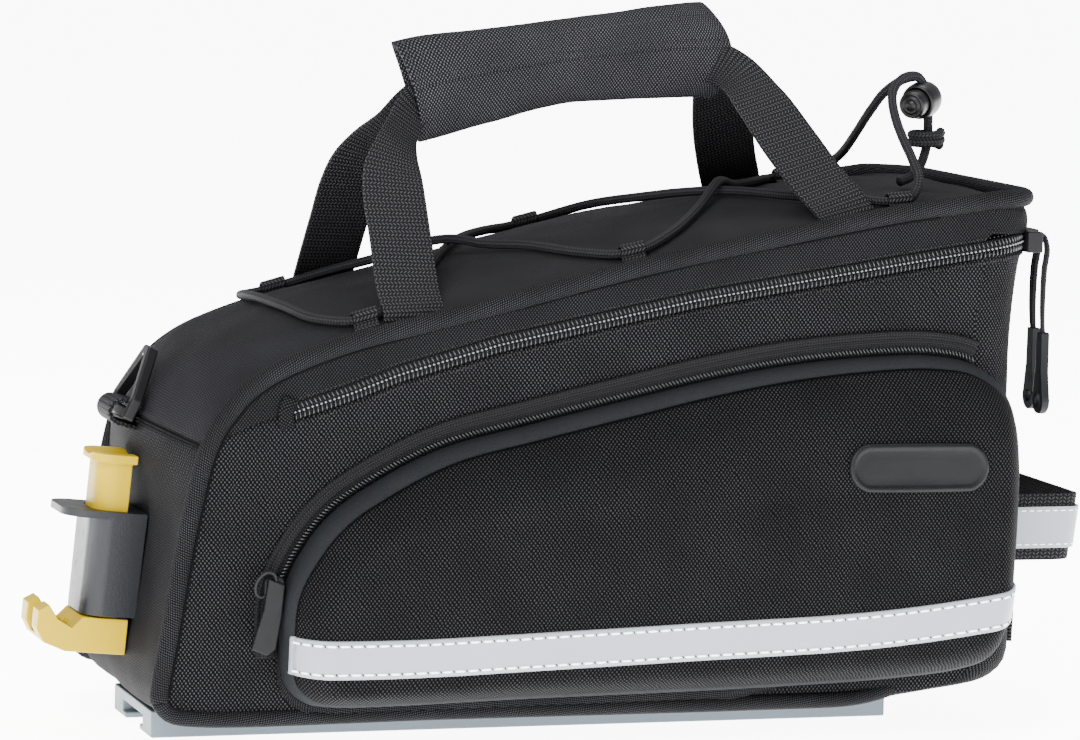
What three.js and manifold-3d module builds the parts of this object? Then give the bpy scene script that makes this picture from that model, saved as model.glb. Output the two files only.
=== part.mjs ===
// A bicycle trunk bag on its slide-in track, in millimetres, with +Z up.
// +X runs from the latch end to the tail light end, and the bag stands on the flat feet of its track.
import * as THREE from 'three';
import { mergeVertices } from 'three/addons/utils/BufferGeometryUtils.js';
import Module from 'manifold-3d';

const wasm = await Module();
wasm.setup();

// Gaps and walls
const seat = 0.3;
const wall = 4;
const lidWall = 3.6;

// Main bag
const bodyLength = 356;
const bodyWidth = 150;
const bodyHeight = 203;
const crownHeight = 14;
const rearCorner = 22;
const baseRise = 5;
const baseRiseEnd = 0.06;
const pipingRadius = 3.6;
const pipingSunk = 0.5;

// Main zipper
const zipperStart = 49;
const zipperHeight = 7.2;
const zipperThick = 2.2;
const zipperSunk = 0.8;

// Side pockets
const pocketDepth = 23;
const pocketWall = 2.4;
const pocketRoll = 50;
const pocketZipperWidth = 9;
const pocketZipperThick = 1.8;
const pocketSliderThick = 4.2;
const bandHeight = 15;
const bandThick = 0.9;
const badgeLength = 58;
const badgeHeight = 20;
const badgeThick = 2;

// Track
const railLength = 306;
const railWidth = 65;
const railHeight = 10.7;
const railFrontInset = 7.5;
const slotCeiling = 6.5;
const slotMouth = 24;
const slotInside = 34;
const lipThick = 2.4;

// Carrying handle
const webbingWidth = 25;
const webbingThick = 1.8;
const gripHeight = 40;
const gripThick = 13;
const gripWall = 2.6;

// Elastic cord, its loops and its lock
const cordRadius = 1.9;
const cordLift = 0.8;
const loopWall = 1.2;
const loopRoom = 1.7;
const loopWidth = 10;
const loopInset = 9.5;
const lockRadius = 7.4;
const lockLength = 12.5;
const buttonRadius = 5.6;
const buttonLength = 8;
const buttonBore = 5;
const buttonTravel = 3.5;
const buttonPlay = 0.4;

// Front latch
const latchLean = 5;
const latchWidth = 35;
const latchDepth = 21;
const latchHeight = 41;
const latchCorner = 8.5;
const flangeReach = 11;
const flangeThick = 2.8;
const stemWidth = 26;
const stemDepth = 13;
const stemShow = 19;
const stemPlay = 0.5;
const capThick = 3.2;
const capOverhang = 1.6;
const tongueThick = 15;
const tongueReach = 38;
const tongueWidth = 31;

// Rings, light loop and zipper pulls
const ringWire = 4.6;
const ringBase = 33;
const ringTall = 30;
const lightLoopSpan = 96;
const lightLoopReach = 33;
const lightLoopHeight = 27;
const lightLoopThick = 2;
const lightLoopFlare = 0.12;
const reflectorHeight = 17;
const reflectorThick = 0.7;
const sliderLength = 12;
const sliderWidth = 8.4;
const sliderThick = 6.5;
const sliderSpace = 0.75;
const pullCordRadius = 1.1;
const pullerLength = 33;
const pullerWidth = 11;
const pullerThick = 3.6;
const pullDrop = 36;
const patchHeight = 24;
const patchMargin = 12;
const patchProud = 2.4;
const patchBack = 8;

const halfLength = bodyLength / 2;
const halfWidth = bodyWidth / 2;
const bodyBase = railHeight + seat;

// Side profile of the bag, from the front of its base up over the lid and down the rear.
// Along is a share of the bag's length, up of its height and crown of the crown's height.
const sideProfile = table('along up crown', [
  [0.040, 0.000, 0], [0.014, 0.015, 0], [0.003, 0.055, 0], [0.004, 0.090, 0],
  [0.012, 0.172, 0], [0.022, 0.286, 0.06], [0.031, 0.380, 0.18], [0.037, 0.430, 0.45],
  [0.048, 0.512, 0.92], [0.060, 0.562, 1], [0.076, 0.603, 1], [0.093, 0.635, 0.98],
  [0.115, 0.663, 0.94], [0.140, 0.685, 0.9], [0.205, 0.726, 0.88], [0.281, 0.759, 0.88],
  [0.374, 0.798, 0.9], [0.531, 0.867, 0.88], [0.716, 0.933, 0.7], [0.857, 0.978, 0.36],
  [0.949, 0.995, 0.12], [0.989, 1.000, 0], [1.004, 0.978, 0], [1.004, 0.925, 0],
  [0.997, 0.882, 0], [0.988, 0.760, 0.05], [0.986, 0.620, 0.05], [0.992, 0.438, 0.05], [0.997, 0.240, 0.05],
  [0.999, 0.143, 0], [0.995, 0.080, 0], [0.972, 0.047, 0], [0.900, 0.026, 0],
  [0.810, 0.005, 0], [0.670, 0.000, 0], [0.330, 0.000, 0],
]);

// Line of the main zipper, carried forward to the seam above the latch
const zipperLine = table('along up', [
  [-0.08, 0.480], [0.048, 0.532], [0.080, 0.562], [0.110, 0.583], [0.138, 0.596], [0.205, 0.633],
  [0.260, 0.669], [0.372, 0.724], [0.486, 0.767], [0.598, 0.808], [0.716, 0.842], [0.834, 0.876],
  [0.952, 0.908], [0.983, 0.916], [1.080, 0.930],
]);

// Outline of a side pocket, from its lower front corner up over the arch and back along its lower edge.
// Roll is the width of its rounded edge, as a share of the widest one.
const pocketOutline = table('along up roll', [
  [0.185, 0.044, 0.24], [0.157, 0.054, 0.26], [0.138, 0.085, 0.30], [0.132, 0.158, 0.32],
  [0.133, 0.251, 0.36], [0.152, 0.330, 0.40], [0.185, 0.404, 0.44], [0.230, 0.460, 0.52],
  [0.306, 0.525, 0.64], [0.407, 0.570, 0.76], [0.520, 0.616, 0.88], [0.612, 0.652, 0.96],
  [0.705, 0.680, 1.00], [0.798, 0.695, 1.00], [0.868, 0.697, 0.90], [0.916, 0.682, 0.70],
  [0.949, 0.645, 0.52], [0.969, 0.591, 0.40], [0.978, 0.512, 0.32], [0.980, 0.414, 0.28],
  [0.978, 0.291, 0.28], [0.970, 0.172, 0.28], [0.949, 0.105, 0.28], [0.916, 0.084, 0.26],
  [0.837, 0.069, 0.26], [0.669, 0.057, 0.24], [0.416, 0.049, 0.24],
]);

// Middle line that a pocket's rounded edges run in to
const pocketSpine = table('along up', [[0.330, 0.270], [0.860, 0.350]]);

// Lower edge of the reflective band across a pocket
const bandLine = table('along up', [
  [0.148, 0.117], [0.165, 0.109], [0.190, 0.107], [0.280, 0.108], [0.420, 0.116], [0.600, 0.127],
  [0.760, 0.137], [0.840, 0.148], [0.900, 0.160], [0.950, 0.172], [0.974, 0.182],
]);

// The handle's near strap, from its front foot to its rear foot.
// Across is a share of the bag's half width, up of the bag's height and width of the webbing's width.
// Face turns the webbing's face from 0, leaning, to 1, upright.
const strapRoute = table('along across up width face', [
  [0.280, -0.922, 0.740, 1, 0], [0.280, -0.922, 0.775, 1, 0], [0.279, -0.800, 0.823, 1, 0],
  [0.281, -0.600, 0.916, 1, 0], [0.283, -0.433, 0.993, 1, 0.1], [0.287, -0.333, 1.039, 0.92, 0.3],
  [0.296, -0.240, 1.078, 0.72, 0.6], [0.310, -0.120, 1.112, 0.6, 0.8], [0.334, -0.030, 1.160, 0.65, 1],
  [0.390, -0.030, 1.200, 0.8, 1], [0.500, -0.030, 1.243, 0.85, 1], [0.600, -0.030, 1.262, 0.8, 1],
  [0.664, -0.030, 1.256, 0.7, 1], [0.697, -0.160, 1.228, 0.72, 0.7], [0.715, -0.340, 1.175, 0.9, 0.3],
  [0.734, -0.520, 1.105, 1, 0.1], [0.756, -0.720, 1.030, 1, 0], [0.772, -0.860, 0.985, 1, 0],
  [0.778, -0.920, 0.956, 1, 0], [0.780, -0.922, 0.920, 1, 0],
]);

// The grip round both straps: its middle line, its height as a share of the full one, how far its
// end leans back per half height and how far it swells out at its middle height, in millimetres
const gripRings = table('along up tall slant swell', [
  [0.320, 1.180, 1.00, -6, 2], [0.350, 1.193, 1.00, -4, 1], [0.415, 1.216, 0.93, -1, 0],
  [0.500, 1.243, 0.86, 0, 0], [0.585, 1.260, 0.90, 0, 0], [0.645, 1.268, 0.97, -1, 2],
  [0.672, 1.270, 0.98, -3, 9],
]);

// Stations across the bag, as shares of its half width
const stations = [-1, -0.985, -0.94, -0.86, -0.70, -0.35, 0.35, 0.70, 0.86, 0.94, 0.985, 1];

// Places of the cord's loops along the lid's two edges
const loopPlaces = table('name along side', [
  ['front_near', 0.226, -1], ['middle_near', 0.528, -1], ['rear_near', 0.840, -1],
  ['front_far', 0.219, 1], ['middle_far', 0.520, 1], ['rear_far', 0.841, 1],
]);

// Route of the elastic cord, chosen by hand: millimetres along and across, and its height over the lid
const lacing = table('x y lift', [
  [133, 57, 1.6], [126.5, 64.8, 0.9], [120.3, 65.5, 0.8], [114.2, 65.4, 0.7], [107.5, 55, 0.6], [99, 44, 0.7],
  [84, 26, 1.2], [74, 10, 3.8], [66, -5, 5.2], [56, -22, 2.8], [44, -40, 0.8],
  [28, -58, 0.8], [15.8, -65, 0.8], [10, -65.5, 0.8], [4.2, -65, 0.8], [-8, -55, 0.8],
  [-22, -34, 0.8], [-34, -13, 1.8], [-42, 1, 4.6], [-50, 15, 4.6], [-62, 34, 1], [-80, 56, 0.8],
  [-94.5, 65, 0.8], [-100, 65.5, 0.8], [-105.5, 65, 0.8], [-116, 53, 1], [-120, 30, 1], [-121, 0, 1],
  [-119, -30, 1], [-114, -53, 1], [-103, -65, 0.8], [-97.5, -65.5, 0.8], [-92, -65, 0.8],
  [-78, -53, 0.8], [-64, -32, 0.8], [-52, -10, 0.8], [-44, 5, 0.8], [-34, 23, 0.8], [-16, 50, 0.8],
  [1.5, 65, 0.8], [7.1, 65.5, 0.8], [12.7, 65, 0.8], [30, 51, 0.8], [46, 29, 0.8], [60, 8, 0.8],
  [72, -10, 0.8], [90, -34, 0.8], [105, -53, 0.8], [115.4, -64.9, 0.8], [121, -65.5, 0.8],
]);
const risingFar = table('x y z', [
  [148.3, -20, 260.2], [146.5, -18.6, 262.6], [141.5, -15.5, 259.8], [136, -10, 253.5], [133.5, 0, 245],
  [133, 14, 235], [134, 32, 225.5], [134, 48, 219.5],
]);
const risingNear = table('x y z', [
  [126.6, -65.2, 214.4], [130.5, -62.5, 221], [130, -56, 229], [129, -48, 236.5], [129, -38, 245.5],
  [130.5, -31, 253], [134, -27, 258.5], [139.5, -25.4, 262], [144.6, -24.2, 262.8], [146.6, -23.6, 260.4],
]);
const tailPoints = table('x y z', [
  [150, -22.6, 242.6], [149.5, -23.2, 236], [148, -25, 230], [145, -27, 224], [140, -30, 220],
  [134, -33, 218.2],
]);

const lockPlace = new THREE.Vector3(147.5, -21.5, 250.8);
const lockAxis = new THREE.Vector3(-0.70, -0.69, -0.18).normalize();
const knotPlace = new THREE.Vector3(148.4, -24.4, 235.2);

// Webbing and ring places
const frontRing = { y: 1, along: 0.003, up: 0.560 };
const sliderPlaces = [-0.86 * halfWidth, -0.86 * halfWidth + sliderLength + sliderSpace];

// Turns rows of numbers into records with named columns
function table(columns, rows) {
  const names = columns.split(' ');
  return rows.map((row) => Object.fromEntries(names.map((name, i) => [name, row[i]])));
}

function alongToX(along) {
  return (along - 0.5) * bodyLength;
}

function upToZ(up) {
  return bodyBase + up * bodyHeight;
}

function lerp(a, b, t) {
  return a + (b - a) * t;
}

// Value of a table's column at a place along the bag
function readAlong(rows, along, column) {
  const last = rows.length - 1;
  if (along <= rows[0].along) return rows[0][column];
  for (let i = 0; i < last; i++) {
    const next = rows[i + 1];
    if (along <= next.along) {
      return lerp(rows[i][column], next[column], (along - rows[i].along) / (next.along - rows[i].along));
    }
  }
  return rows[last][column];
}

// Solids

function toSolid(geometry) {
  const bare = geometry.clone();
  bare.deleteAttribute('normal');
  bare.deleteAttribute('uv');
  const merged = mergeVertices(bare, 1e-4);
  return new wasm.Manifold(new wasm.Mesh({
    numProp: 3,
    vertProperties: new Float32Array(merged.attributes.position.array),
    triVerts: new Uint32Array(merged.index.array),
  }));
}

function toGeometry(solid) {
  const mesh = solid.getMesh();
  const geometry = new THREE.BufferGeometry();
  const stride = mesh.numProp;
  const count = mesh.vertProperties.length / stride;
  const positions = new Float32Array(count * 3);
  for (let i = 0; i < count; i++) {
    for (let k = 0; k < 3; k++) positions[3 * i + k] = mesh.vertProperties[stride * i + k];
  }
  geometry.setAttribute('position', new THREE.BufferAttribute(positions, 3));
  geometry.setIndex(new THREE.BufferAttribute(new Uint32Array(mesh.triVerts), 1));
  return geometry;
}

// A closed skin through rings of points, with a fan over its first and last ring
function loft(rings) {
  const count = rings[0].length;
  const points = rings.flat();
  const index = [];
  for (let k = 0; k + 1 < rings.length; k++) {
    for (let i = 0; i < count; i++) {
      const a = k * count + i;
      const b = k * count + ((i + 1) % count);
      index.push(a, b, b + count, a, b + count, a + count);
    }
  }
  const firstMiddle = points.length;
  points.push(middleOf(rings[0]));
  const lastMiddle = points.length;
  points.push(middleOf(rings[rings.length - 1]));
  const lastStart = (rings.length - 1) * count;
  for (let i = 0; i < count; i++) {
    const j = (i + 1) % count;
    index.push(firstMiddle, j, i, lastMiddle, lastStart + i, lastStart + j);
  }
  return skinSolid(points, index);
}

function middleOf(ring) {
  const middle = new THREE.Vector3();
  ring.forEach((point) => middle.add(point));
  return middle.divideScalar(ring.length);
}

// A solid from points and triangles, with its faces turned outwards
function skinSolid(points, index) {
  let volume = 0;
  const cross = new THREE.Vector3();
  for (let i = 0; i < index.length; i += 3) {
    cross.crossVectors(points[index[i + 1]], points[index[i + 2]]);
    volume += points[index[i]].dot(cross);
  }
  const outward = [];
  for (let i = 0; i < index.length; i += 3) {
    const [a, b, c] = index.slice(i, i + 3);
    outward.push(a, volume > 0 ? b : c, volume > 0 ? c : b);
  }
  const geometry = new THREE.BufferGeometry().setFromPoints(points);
  geometry.setIndex(outward);
  return toSolid(geometry);
}

// A closed tube round a curve through the points
function tube(points, radius, sides, steps) {
  const section = new THREE.Shape();
  for (let i = 0; i < sides; i++) {
    const angle = ((i + 0.5) / sides) * 2 * Math.PI;
    const place = [radius * Math.cos(angle), radius * Math.sin(angle)];
    if (i === 0) section.moveTo(...place);
    else section.lineTo(...place);
  }
  section.closePath();
  const path = new THREE.CatmullRomCurve3(points, false, 'centripetal');
  return toSolid(new THREE.ExtrudeGeometry(section, { steps, extrudePath: path, bevelEnabled: false }));
}

// A flat shape drawn in X and Z, from one Y to another
function slabAcross(outline, fromY, toY) {
  const shape = new THREE.Shape(outline.map(([x, z]) => new THREE.Vector2(x, z)));
  const options = { depth: toY - fromY, bevelEnabled: false, curveSegments: 6 };
  const geometry = new THREE.ExtrudeGeometry(shape, options);
  geometry.rotateX(Math.PI / 2);
  geometry.translate(0, toY, 0);
  return toSolid(geometry);
}

// A flat shape drawn in X and Y, from one Z to another
function slabUp(shape, fromZ, toZ, curveSegments = 4) {
  const options = { depth: toZ - fromZ, bevelEnabled: false, curveSegments };
  const geometry = new THREE.ExtrudeGeometry(shape, options);
  geometry.translate(0, 0, fromZ);
  return toSolid(geometry);
}

function box(fromX, toX, fromY, toY, fromZ, toZ) {
  const geometry = new THREE.BoxGeometry(toX - fromX, toY - fromY, toZ - fromZ);
  geometry.translate((fromX + toX) / 2, (fromY + toY) / 2, (fromZ + toZ) / 2);
  return toSolid(geometry);
}

function roundedRect(fromX, toX, fromY, toY, radius) {
  const shape = new THREE.Shape();
  shape.moveTo(fromX + radius, fromY);
  shape.lineTo(toX - radius, fromY);
  shape.absarc(toX - radius, fromY + radius, radius, -Math.PI / 2, 0, false);
  shape.lineTo(toX, toY - radius);
  shape.absarc(toX - radius, toY - radius, radius, 0, Math.PI / 2, false);
  shape.lineTo(fromX + radius, toY);
  shape.absarc(fromX + radius, toY - radius, radius, Math.PI / 2, Math.PI, false);
  shape.lineTo(fromX, fromY + radius);
  shape.absarc(fromX + radius, fromY + radius, radius, Math.PI, 1.5 * Math.PI, false);
  return shape;
}

function transformed(solid, matrix) {
  const geometry = toGeometry(solid);
  geometry.applyMatrix4(matrix);
  return toSolid(geometry);
}

// The same piece on the far side of the bag
function mirrored(solid) {
  const geometry = toGeometry(solid);
  const points = [];
  const position = geometry.attributes.position;
  for (let i = 0; i < position.count; i++) {
    points.push(new THREE.Vector3(position.getX(i), -position.getY(i), position.getZ(i)));
  }
  return skinSolid(points, Array.from(geometry.index.array));
}

// The bag's outer form, or the same form moved inwards

function profilePoints() {
  const points = sideProfile.map(({ along, up, crown }) => ({ x: alongToX(along), z: upToZ(up), crown }));
  return points.map((point, i) => {
    const before = points[(i + points.length - 1) % points.length];
    const after = points[(i + 1) % points.length];
    const length = Math.hypot(after.x - before.x, after.z - before.z);
    return { ...point, outX: -(after.z - before.z) / length, outZ: (after.x - before.x) / length };
  });
}

// How far the base's long edges are drawn up, to where the piping is sewn
function edgeRise(across, z) {
  const nearBase = Math.max(0, 1 - (z - bodyBase) / (baseRiseEnd * bodyHeight));
  return baseRise * across ** 12 * nearBase;
}

function formRing(across, inset) {
  const y = across * (halfWidth - inset);
  const bulge = Math.max(0, 1 - across * across) ** 0.7;
  const radius = Math.max(rearCorner - inset, 0.5);
  const past = Math.min(Math.max(0, Math.abs(y) - (halfWidth - rearCorner)), radius);
  const drawnIn = radius - Math.sqrt(radius * radius - past * past);
  return profilePoints().map(({ x, z, crown, outX, outZ }) => {
    const out = crown * crownHeight * bulge - inset;
    const atRear = x > halfLength - 2 * rearCorner;
    const rise = edgeRise(across, z);
    return new THREE.Vector3(x + outX * out - (atRear ? drawnIn : 0), y, z + outZ * out + rise);
  });
}

function form(inset) {
  return loft(stations.map((across) => formRing(across, inset)));
}

// Height of the lid's outer face over a point
function lidTop(x, y) {
  const ring = formRing(y / halfWidth, 0);
  let top = 0;
  for (let i = 0; i + 1 < ring.length; i++) {
    const a = ring[i];
    const b = ring[i + 1];
    if (a.x <= x && x < b.x) top = Math.max(top, lerp(a.z, b.z, (x - a.x) / (b.x - a.x)));
  }
  return top;
}

// Main pieces of the bag

// The region above or below the zipper's line, spread by half of the slot that the zipper fills
function besideZipper(side) {
  const startX = halfLength * -1 + zipperStart;
  const line = [];
  zipperLine.forEach(({ along, up }, i) => {
    const x = alongToX(along);
    const before = i > 0 ? alongToX(zipperLine[i - 1].along) : x;
    if (before < startX && x >= startX) {
      const z = upToZ(readAlong(zipperLine, startX / bodyLength + 0.5, 'up'));
      line.push([startX, z + side * seat / 2], [startX + 0.01, z + side * zipperHeight / 2]);
    }
    const half = x < startX ? seat / 2 : zipperHeight / 2;
    if (Math.abs(x - startX) > 0.1) line.push([x, upToZ(up) + side * half]);
  });
  const far = side * 2 * bodyHeight;
  line.push([line[line.length - 1][0], far], [line[0][0], far]);
  return slabAcross(line, -bodyWidth, bodyWidth);
}

function edgePath() {
  const rim = profilePoints().slice(2, 20);
  const y = halfWidth - pipingSunk;
  const near = rim.map(({ x, z, outX, outZ }) => (
    new THREE.Vector3(x + outX * pipingSunk, -y, z + outZ * pipingSunk)));
  const rearTop = profilePoints()[21];
  const middleX = halfLength - rearCorner + 1;
  const reach = rearCorner - pipingSunk;
  const corner = [4, 24, 44, 64, 84].map((degrees) => {
    const angle = THREE.MathUtils.degToRad(degrees);
    const middleY = halfWidth - rearCorner;
    return new THREE.Vector3(middleX + reach * Math.sin(angle), -middleY - reach * Math.cos(angle),
      rearTop.z + pipingSunk);
  });
  const half = [...near, ...corner];
  const farHalf = half.map((point) => new THREE.Vector3(point.x, -point.y, point.z)).reverse();
  return [...half, ...farHalf];
}

function bottomPath(side) {
  const ring = formRing(side, 0);
  const foot = profilePoints();
  const run = [...ring.keys()].slice(31).concat(0, 1);
  const y = side * (halfWidth - pipingSunk);
  return run.map((i) => new THREE.Vector3(
    ring[i].x + foot[i].outX * pipingSunk, y, ring[i].z + foot[i].outZ * pipingSunk));
}

function piping(extra) {
  return {
    edge: tube(edgePath(), pipingRadius + extra, 6, 60),
    bottomNear: tube(bottomPath(-1), pipingRadius - 0.4 + extra, 7, 12),
    bottomFar: tube(bottomPath(1), pipingRadius - 0.4 + extra, 7, 12),
  };
}

function grooved(solid) {
  const { edge, bottomNear, bottomFar } = piping(seat + 0.1);
  return solid.subtract(edge).subtract(bottomNear).subtract(bottomFar);
}

function mainZipper() {
  const line = zipperLine.filter(({ along }) => alongToX(along) > -halfLength + zipperStart + 1);
  const startX = -halfLength + zipperStart + seat;
  const startZ = upToZ(readAlong(zipperLine, startX / bodyLength + 0.5, 'up'));
  const middle = [[startX, startZ], ...line.map(({ along, up }) => [alongToX(along), upToZ(up)])];
  const half = zipperHeight / 2 - seat;
  const upper = middle.map(([x, z]) => [x, z + half]);
  const lower = middle.map(([x, z]) => [x, z - half]).reverse();
  const slot = slabAcross([...upper, ...lower], -bodyWidth, bodyWidth);
  return form(zipperSunk).subtract(form(zipperSunk + zipperThick)).intersect(slot);
}

// Side pocket

function pocketRing(inset, share, past, depth) {
  const spineX = pocketSpine.map(({ along }) => alongToX(along));
  const spineZ = pocketSpine.map(({ up }) => upToZ(up));
  return pocketOutline.map(({ along, up, roll }) => {
    const x = alongToX(along);
    const z = upToZ(up);
    const t = Math.min(1, Math.max(0, (x - spineX[0]) / (spineX[1] - spineX[0])));
    const toX = lerp(spineX[0], spineX[1], t) - x;
    const toZ = lerp(spineZ[0], spineZ[1], t) - z;
    const length = Math.hypot(toX, toZ);
    const rolled = inset + share * (roll * pocketRoll - inset);
    const reach = rolled + past * (length - rolled);
    return new THREE.Vector3(x + toX / length * reach, -(sideFace(x) + depth), z + toZ / length * reach);
  });
}

// Distance from the middle plane to the bag's side at a place along it
function sideFace(x) {
  const past = Math.min(Math.max(0, x - (halfLength - rearCorner + 1.5)), rearCorner * 0.8);
  return halfWidth - rearCorner + Math.sqrt(rearCorner ** 2 - past ** 2) + seat;
}

function rollHeight(share) {
  return (1 - (1 - Math.min(1, Math.max(0, share))) ** 2) ** 0.62;
}

const rollShares = [0, 0.06, 0.22, 0.52, 1];

function pocketSkin(inset, depth) {
  const rings = rollShares.map((share) => pocketRing(inset, share, 0, rollHeight(share) * depth));
  rings.push(pocketRing(inset, 1, 0.75, depth));
  return rings;
}

function pocketShell() {
  const outer = pocketSkin(0, pocketDepth).reverse();
  const inner = pocketSkin(pocketWall, pocketDepth - pocketWall);
  return loft([...outer, ...inner]);
}

// The pocket's outer form as a full block, grown outwards, to cut what lies on it
function pocketBlock(grow) {
  const rings = pocketSkin(-grow, pocketDepth + grow);
  const back = rings[0].map((point) => new THREE.Vector3(point.x, -halfWidth + wall, point.z));
  return loft([back, ...rings]);
}

function reflectiveBand() {
  const lower = bandLine.map(({ along, up }) => [alongToX(along), upToZ(up)]);
  const upper = lower.map(([x, z]) => [x, z + bandHeight]).reverse();
  const strip = slabAcross([...lower, ...upper], -bodyWidth, -halfWidth - seat - 4);
  return pocketBlock(seat + bandThick).subtract(pocketBlock(seat)).intersect(strip);
}

function badge() {
  const middleX = alongToX(0.838);
  const middleZ = upToZ(0.492);
  const half = badgeHeight * 0.42;
  const shape = roundedRect(-badgeLength / 2, badgeLength / 2, -half, half, badgeHeight * 0.4);
  const plate = slabUp(shape, 0, badgeThick, 4);
  const lay = new THREE.Matrix4().makeRotationX(Math.PI / 2);
  lay.setPosition(middleX, -(halfWidth + seat + pocketDepth + seat), middleZ);
  return transformed(plate, lay);
}

function pocketZipper() {
  const arch = pocketOutline.slice(3, 16);
  const middle = arch.map(({ along, up }) => new THREE.Vector2(alongToX(along), upToZ(up)));
  const rings = middle.map((point, i) => {
    const before = middle[Math.max(0, i - 1)];
    const after = middle[Math.min(middle.length - 1, i + 1)];
    const run = new THREE.Vector2().subVectors(after, before).normalize();
    const out = new THREE.Vector2(-run.y, run.x);
    const near = point.clone().addScaledVector(out, seat + 0.2);
    const far = point.clone().addScaledVector(out, seat + 0.2 + pocketZipperWidth);
    const face = -(halfWidth + seat);
    return [[near, face], [far, face], [far, face - pocketZipperThick], [near, face - pocketZipperThick]]
      .map(([flat, y]) => new THREE.Vector3(flat.x, y, flat.y));
  });
  return loft(rings);
}

function pocketSlider() {
  const shape = roundedRect(-4, 4, -sliderLength / 2, sliderLength / 2, 2);
  const face = halfWidth + seat + pocketZipperThick + seat;
  const lay = new THREE.Matrix4().makeRotationX(Math.PI / 2);
  lay.setPosition(alongToX(0.130) - pocketZipperWidth * 0.35, -face, upToZ(0.262));
  return transformed(slabUp(shape, 0, pocketSliderThick, 2), lay);
}

function pocketPull() {
  const places = [[0.122, 0.285, 3.2], [0.118, 0.225, 3.6], [0.110, 0.165, 4.4], [0.104, 0.150, 3.2]];
  const face = halfWidth + seat + pocketZipperThick + pocketSliderThick + 2 * seat;
  const rings = places.map(([along, up, half]) => {
    const x = alongToX(along);
    const z = upToZ(up);
    return [[-half, 0], [half, 0], [half, 2.4], [-half, 2.4]]
      .map(([side, out]) => new THREE.Vector3(x + side, -(face + out), z - side * 0.4));
  });
  return loft(rings);
}

// Carrying handle

function strap(grow) {
  const rows = strapRoute.map(({ along, across, up, width, face }) => (
    { place: new THREE.Vector3(alongToX(along), across * halfWidth, upToZ(up)), width, face }));
  const curve = new THREE.CatmullRomCurve3(rows.map(({ place }) => place), false, 'centripetal');
  const steps = 2 * (rows.length - 1);
  const rings = [];
  for (let i = 0; i <= steps; i++) {
    const place = curve.getPoint(i / steps);
    const run = curve.getTangent(i / steps);
    const row = Math.min(rows.length - 2, Math.floor(i / 2));
    const part = i / 2 - row;
    const face = lerp(rows[row].face, rows[row + 1].face, part);
    const half = lerp(rows[row].width, rows[row + 1].width, part) * webbingWidth / 2 + grow;
    const front = new THREE.Vector3(0, lerp(-0.79, -1, face), lerp(0.61, 0, face)).normalize();
    const across = new THREE.Vector3().crossVectors(front, run).normalize();
    const out = new THREE.Vector3().crossVectors(run, across).normalize();
    rings.push([[-1, -1], [1, -1], [1, 1], [-1, 1]].map(([a, b]) => (
      place.clone().addScaledVector(across, a * half).addScaledVector(out, b * (webbingThick / 2 + grow)))));
  }
  return loft(rings);
}

function handleStrap() {
  return strap(0).subtract(form(-2 * seat));
}

function gripLoft(inset, past) {
  const sides = 12;
  const last = gripRings.length - 1;
  return loft(gripRings.map(({ along, up, tall, slant, swell }, i) => {
    const ring = [];
    const beyond = i === 0 ? -past : i === last ? past : 0;
    for (let k = 0; k < sides; k++) {
      const angle = (k / sides) * 2 * Math.PI;
      const level = Math.sign(Math.sin(angle)) * Math.abs(Math.sin(angle)) ** 0.8;
      const side = Math.sign(Math.cos(angle)) * Math.abs(Math.cos(angle)) ** 0.6;
      const shift = slant * level + swell * (1 - level * level) + beyond;
      ring.push(new THREE.Vector3(alongToX(along) + shift, side * (gripThick / 2 - inset),
        upToZ(up) + level * (gripHeight / 2 * tall - inset)));
    }
    return ring;
  }));
}

function grip() {
  const near = strap(seat);
  return gripLoft(0, 0).subtract(gripLoft(gripWall, 3)).subtract(near).subtract(mirrored(near));
}

// Elastic cord

function cordPoints() {
  const far = risingFar.map(({ x, y, z }) => new THREE.Vector3(x, y, z));
  const flat = lacing.map(({ x, y, lift }) => new THREE.Vector3(x, y, lidTop(x, y) + cordRadius + lift));
  const near = risingNear.map(({ x, y, z }) => new THREE.Vector3(x, y, z));
  return [...far, ...flat, ...near];
}

function cordLoop({ along, side }) {
  const x = alongToX(along);
  const y = side * (halfWidth - loopInset);
  const hole = cordRadius + loopRoom;
  const shape = new THREE.Shape();
  shape.absarc(0, 0, hole + loopWall, 0, 2 * Math.PI, false);
  const opening = new THREE.Path();
  opening.absarc(0, 0, hole, 0, 2 * Math.PI, true);
  shape.holes.push(opening);
  const sleeve = slabUp(shape, -loopWidth / 2, loopWidth / 2, 8);
  const lay = new THREE.Matrix4().makeBasis(
    new THREE.Vector3(0, 1, 0), new THREE.Vector3(0, 0, 1), new THREE.Vector3(1, 0, 0));
  lay.setPosition(x, y, lidTop(x, y) + cordRadius + cordLift);
  const tilt = new THREE.Matrix4().makeRotationY(-Math.atan2(lidTop(x + 5, y) - lidTop(x - 5, y), 10));
  const centre = new THREE.Vector3(x, y, lidTop(x, y) + cordRadius + cordLift);
  const turn = new THREE.Matrix4().makeTranslation(centre).multiply(tilt)
    .multiply(new THREE.Matrix4().makeTranslation(centre.clone().negate()));
  return transformed(transformed(sleeve, lay), turn).subtract(form(-seat));
}

function alongAxis(solid, place, axis) {
  const turn = new THREE.Quaternion().setFromUnitVectors(new THREE.Vector3(0, 0, 1), axis);
  return transformed(solid, new THREE.Matrix4().compose(place, turn, new THREE.Vector3(1, 1, 1)));
}

function turned(profile, segments = 16) {
  return toSolid(new THREE.LatheGeometry(profile.map(([r, z]) => new THREE.Vector2(r, z)), segments)
    .rotateX(Math.PI / 2));
}

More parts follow.
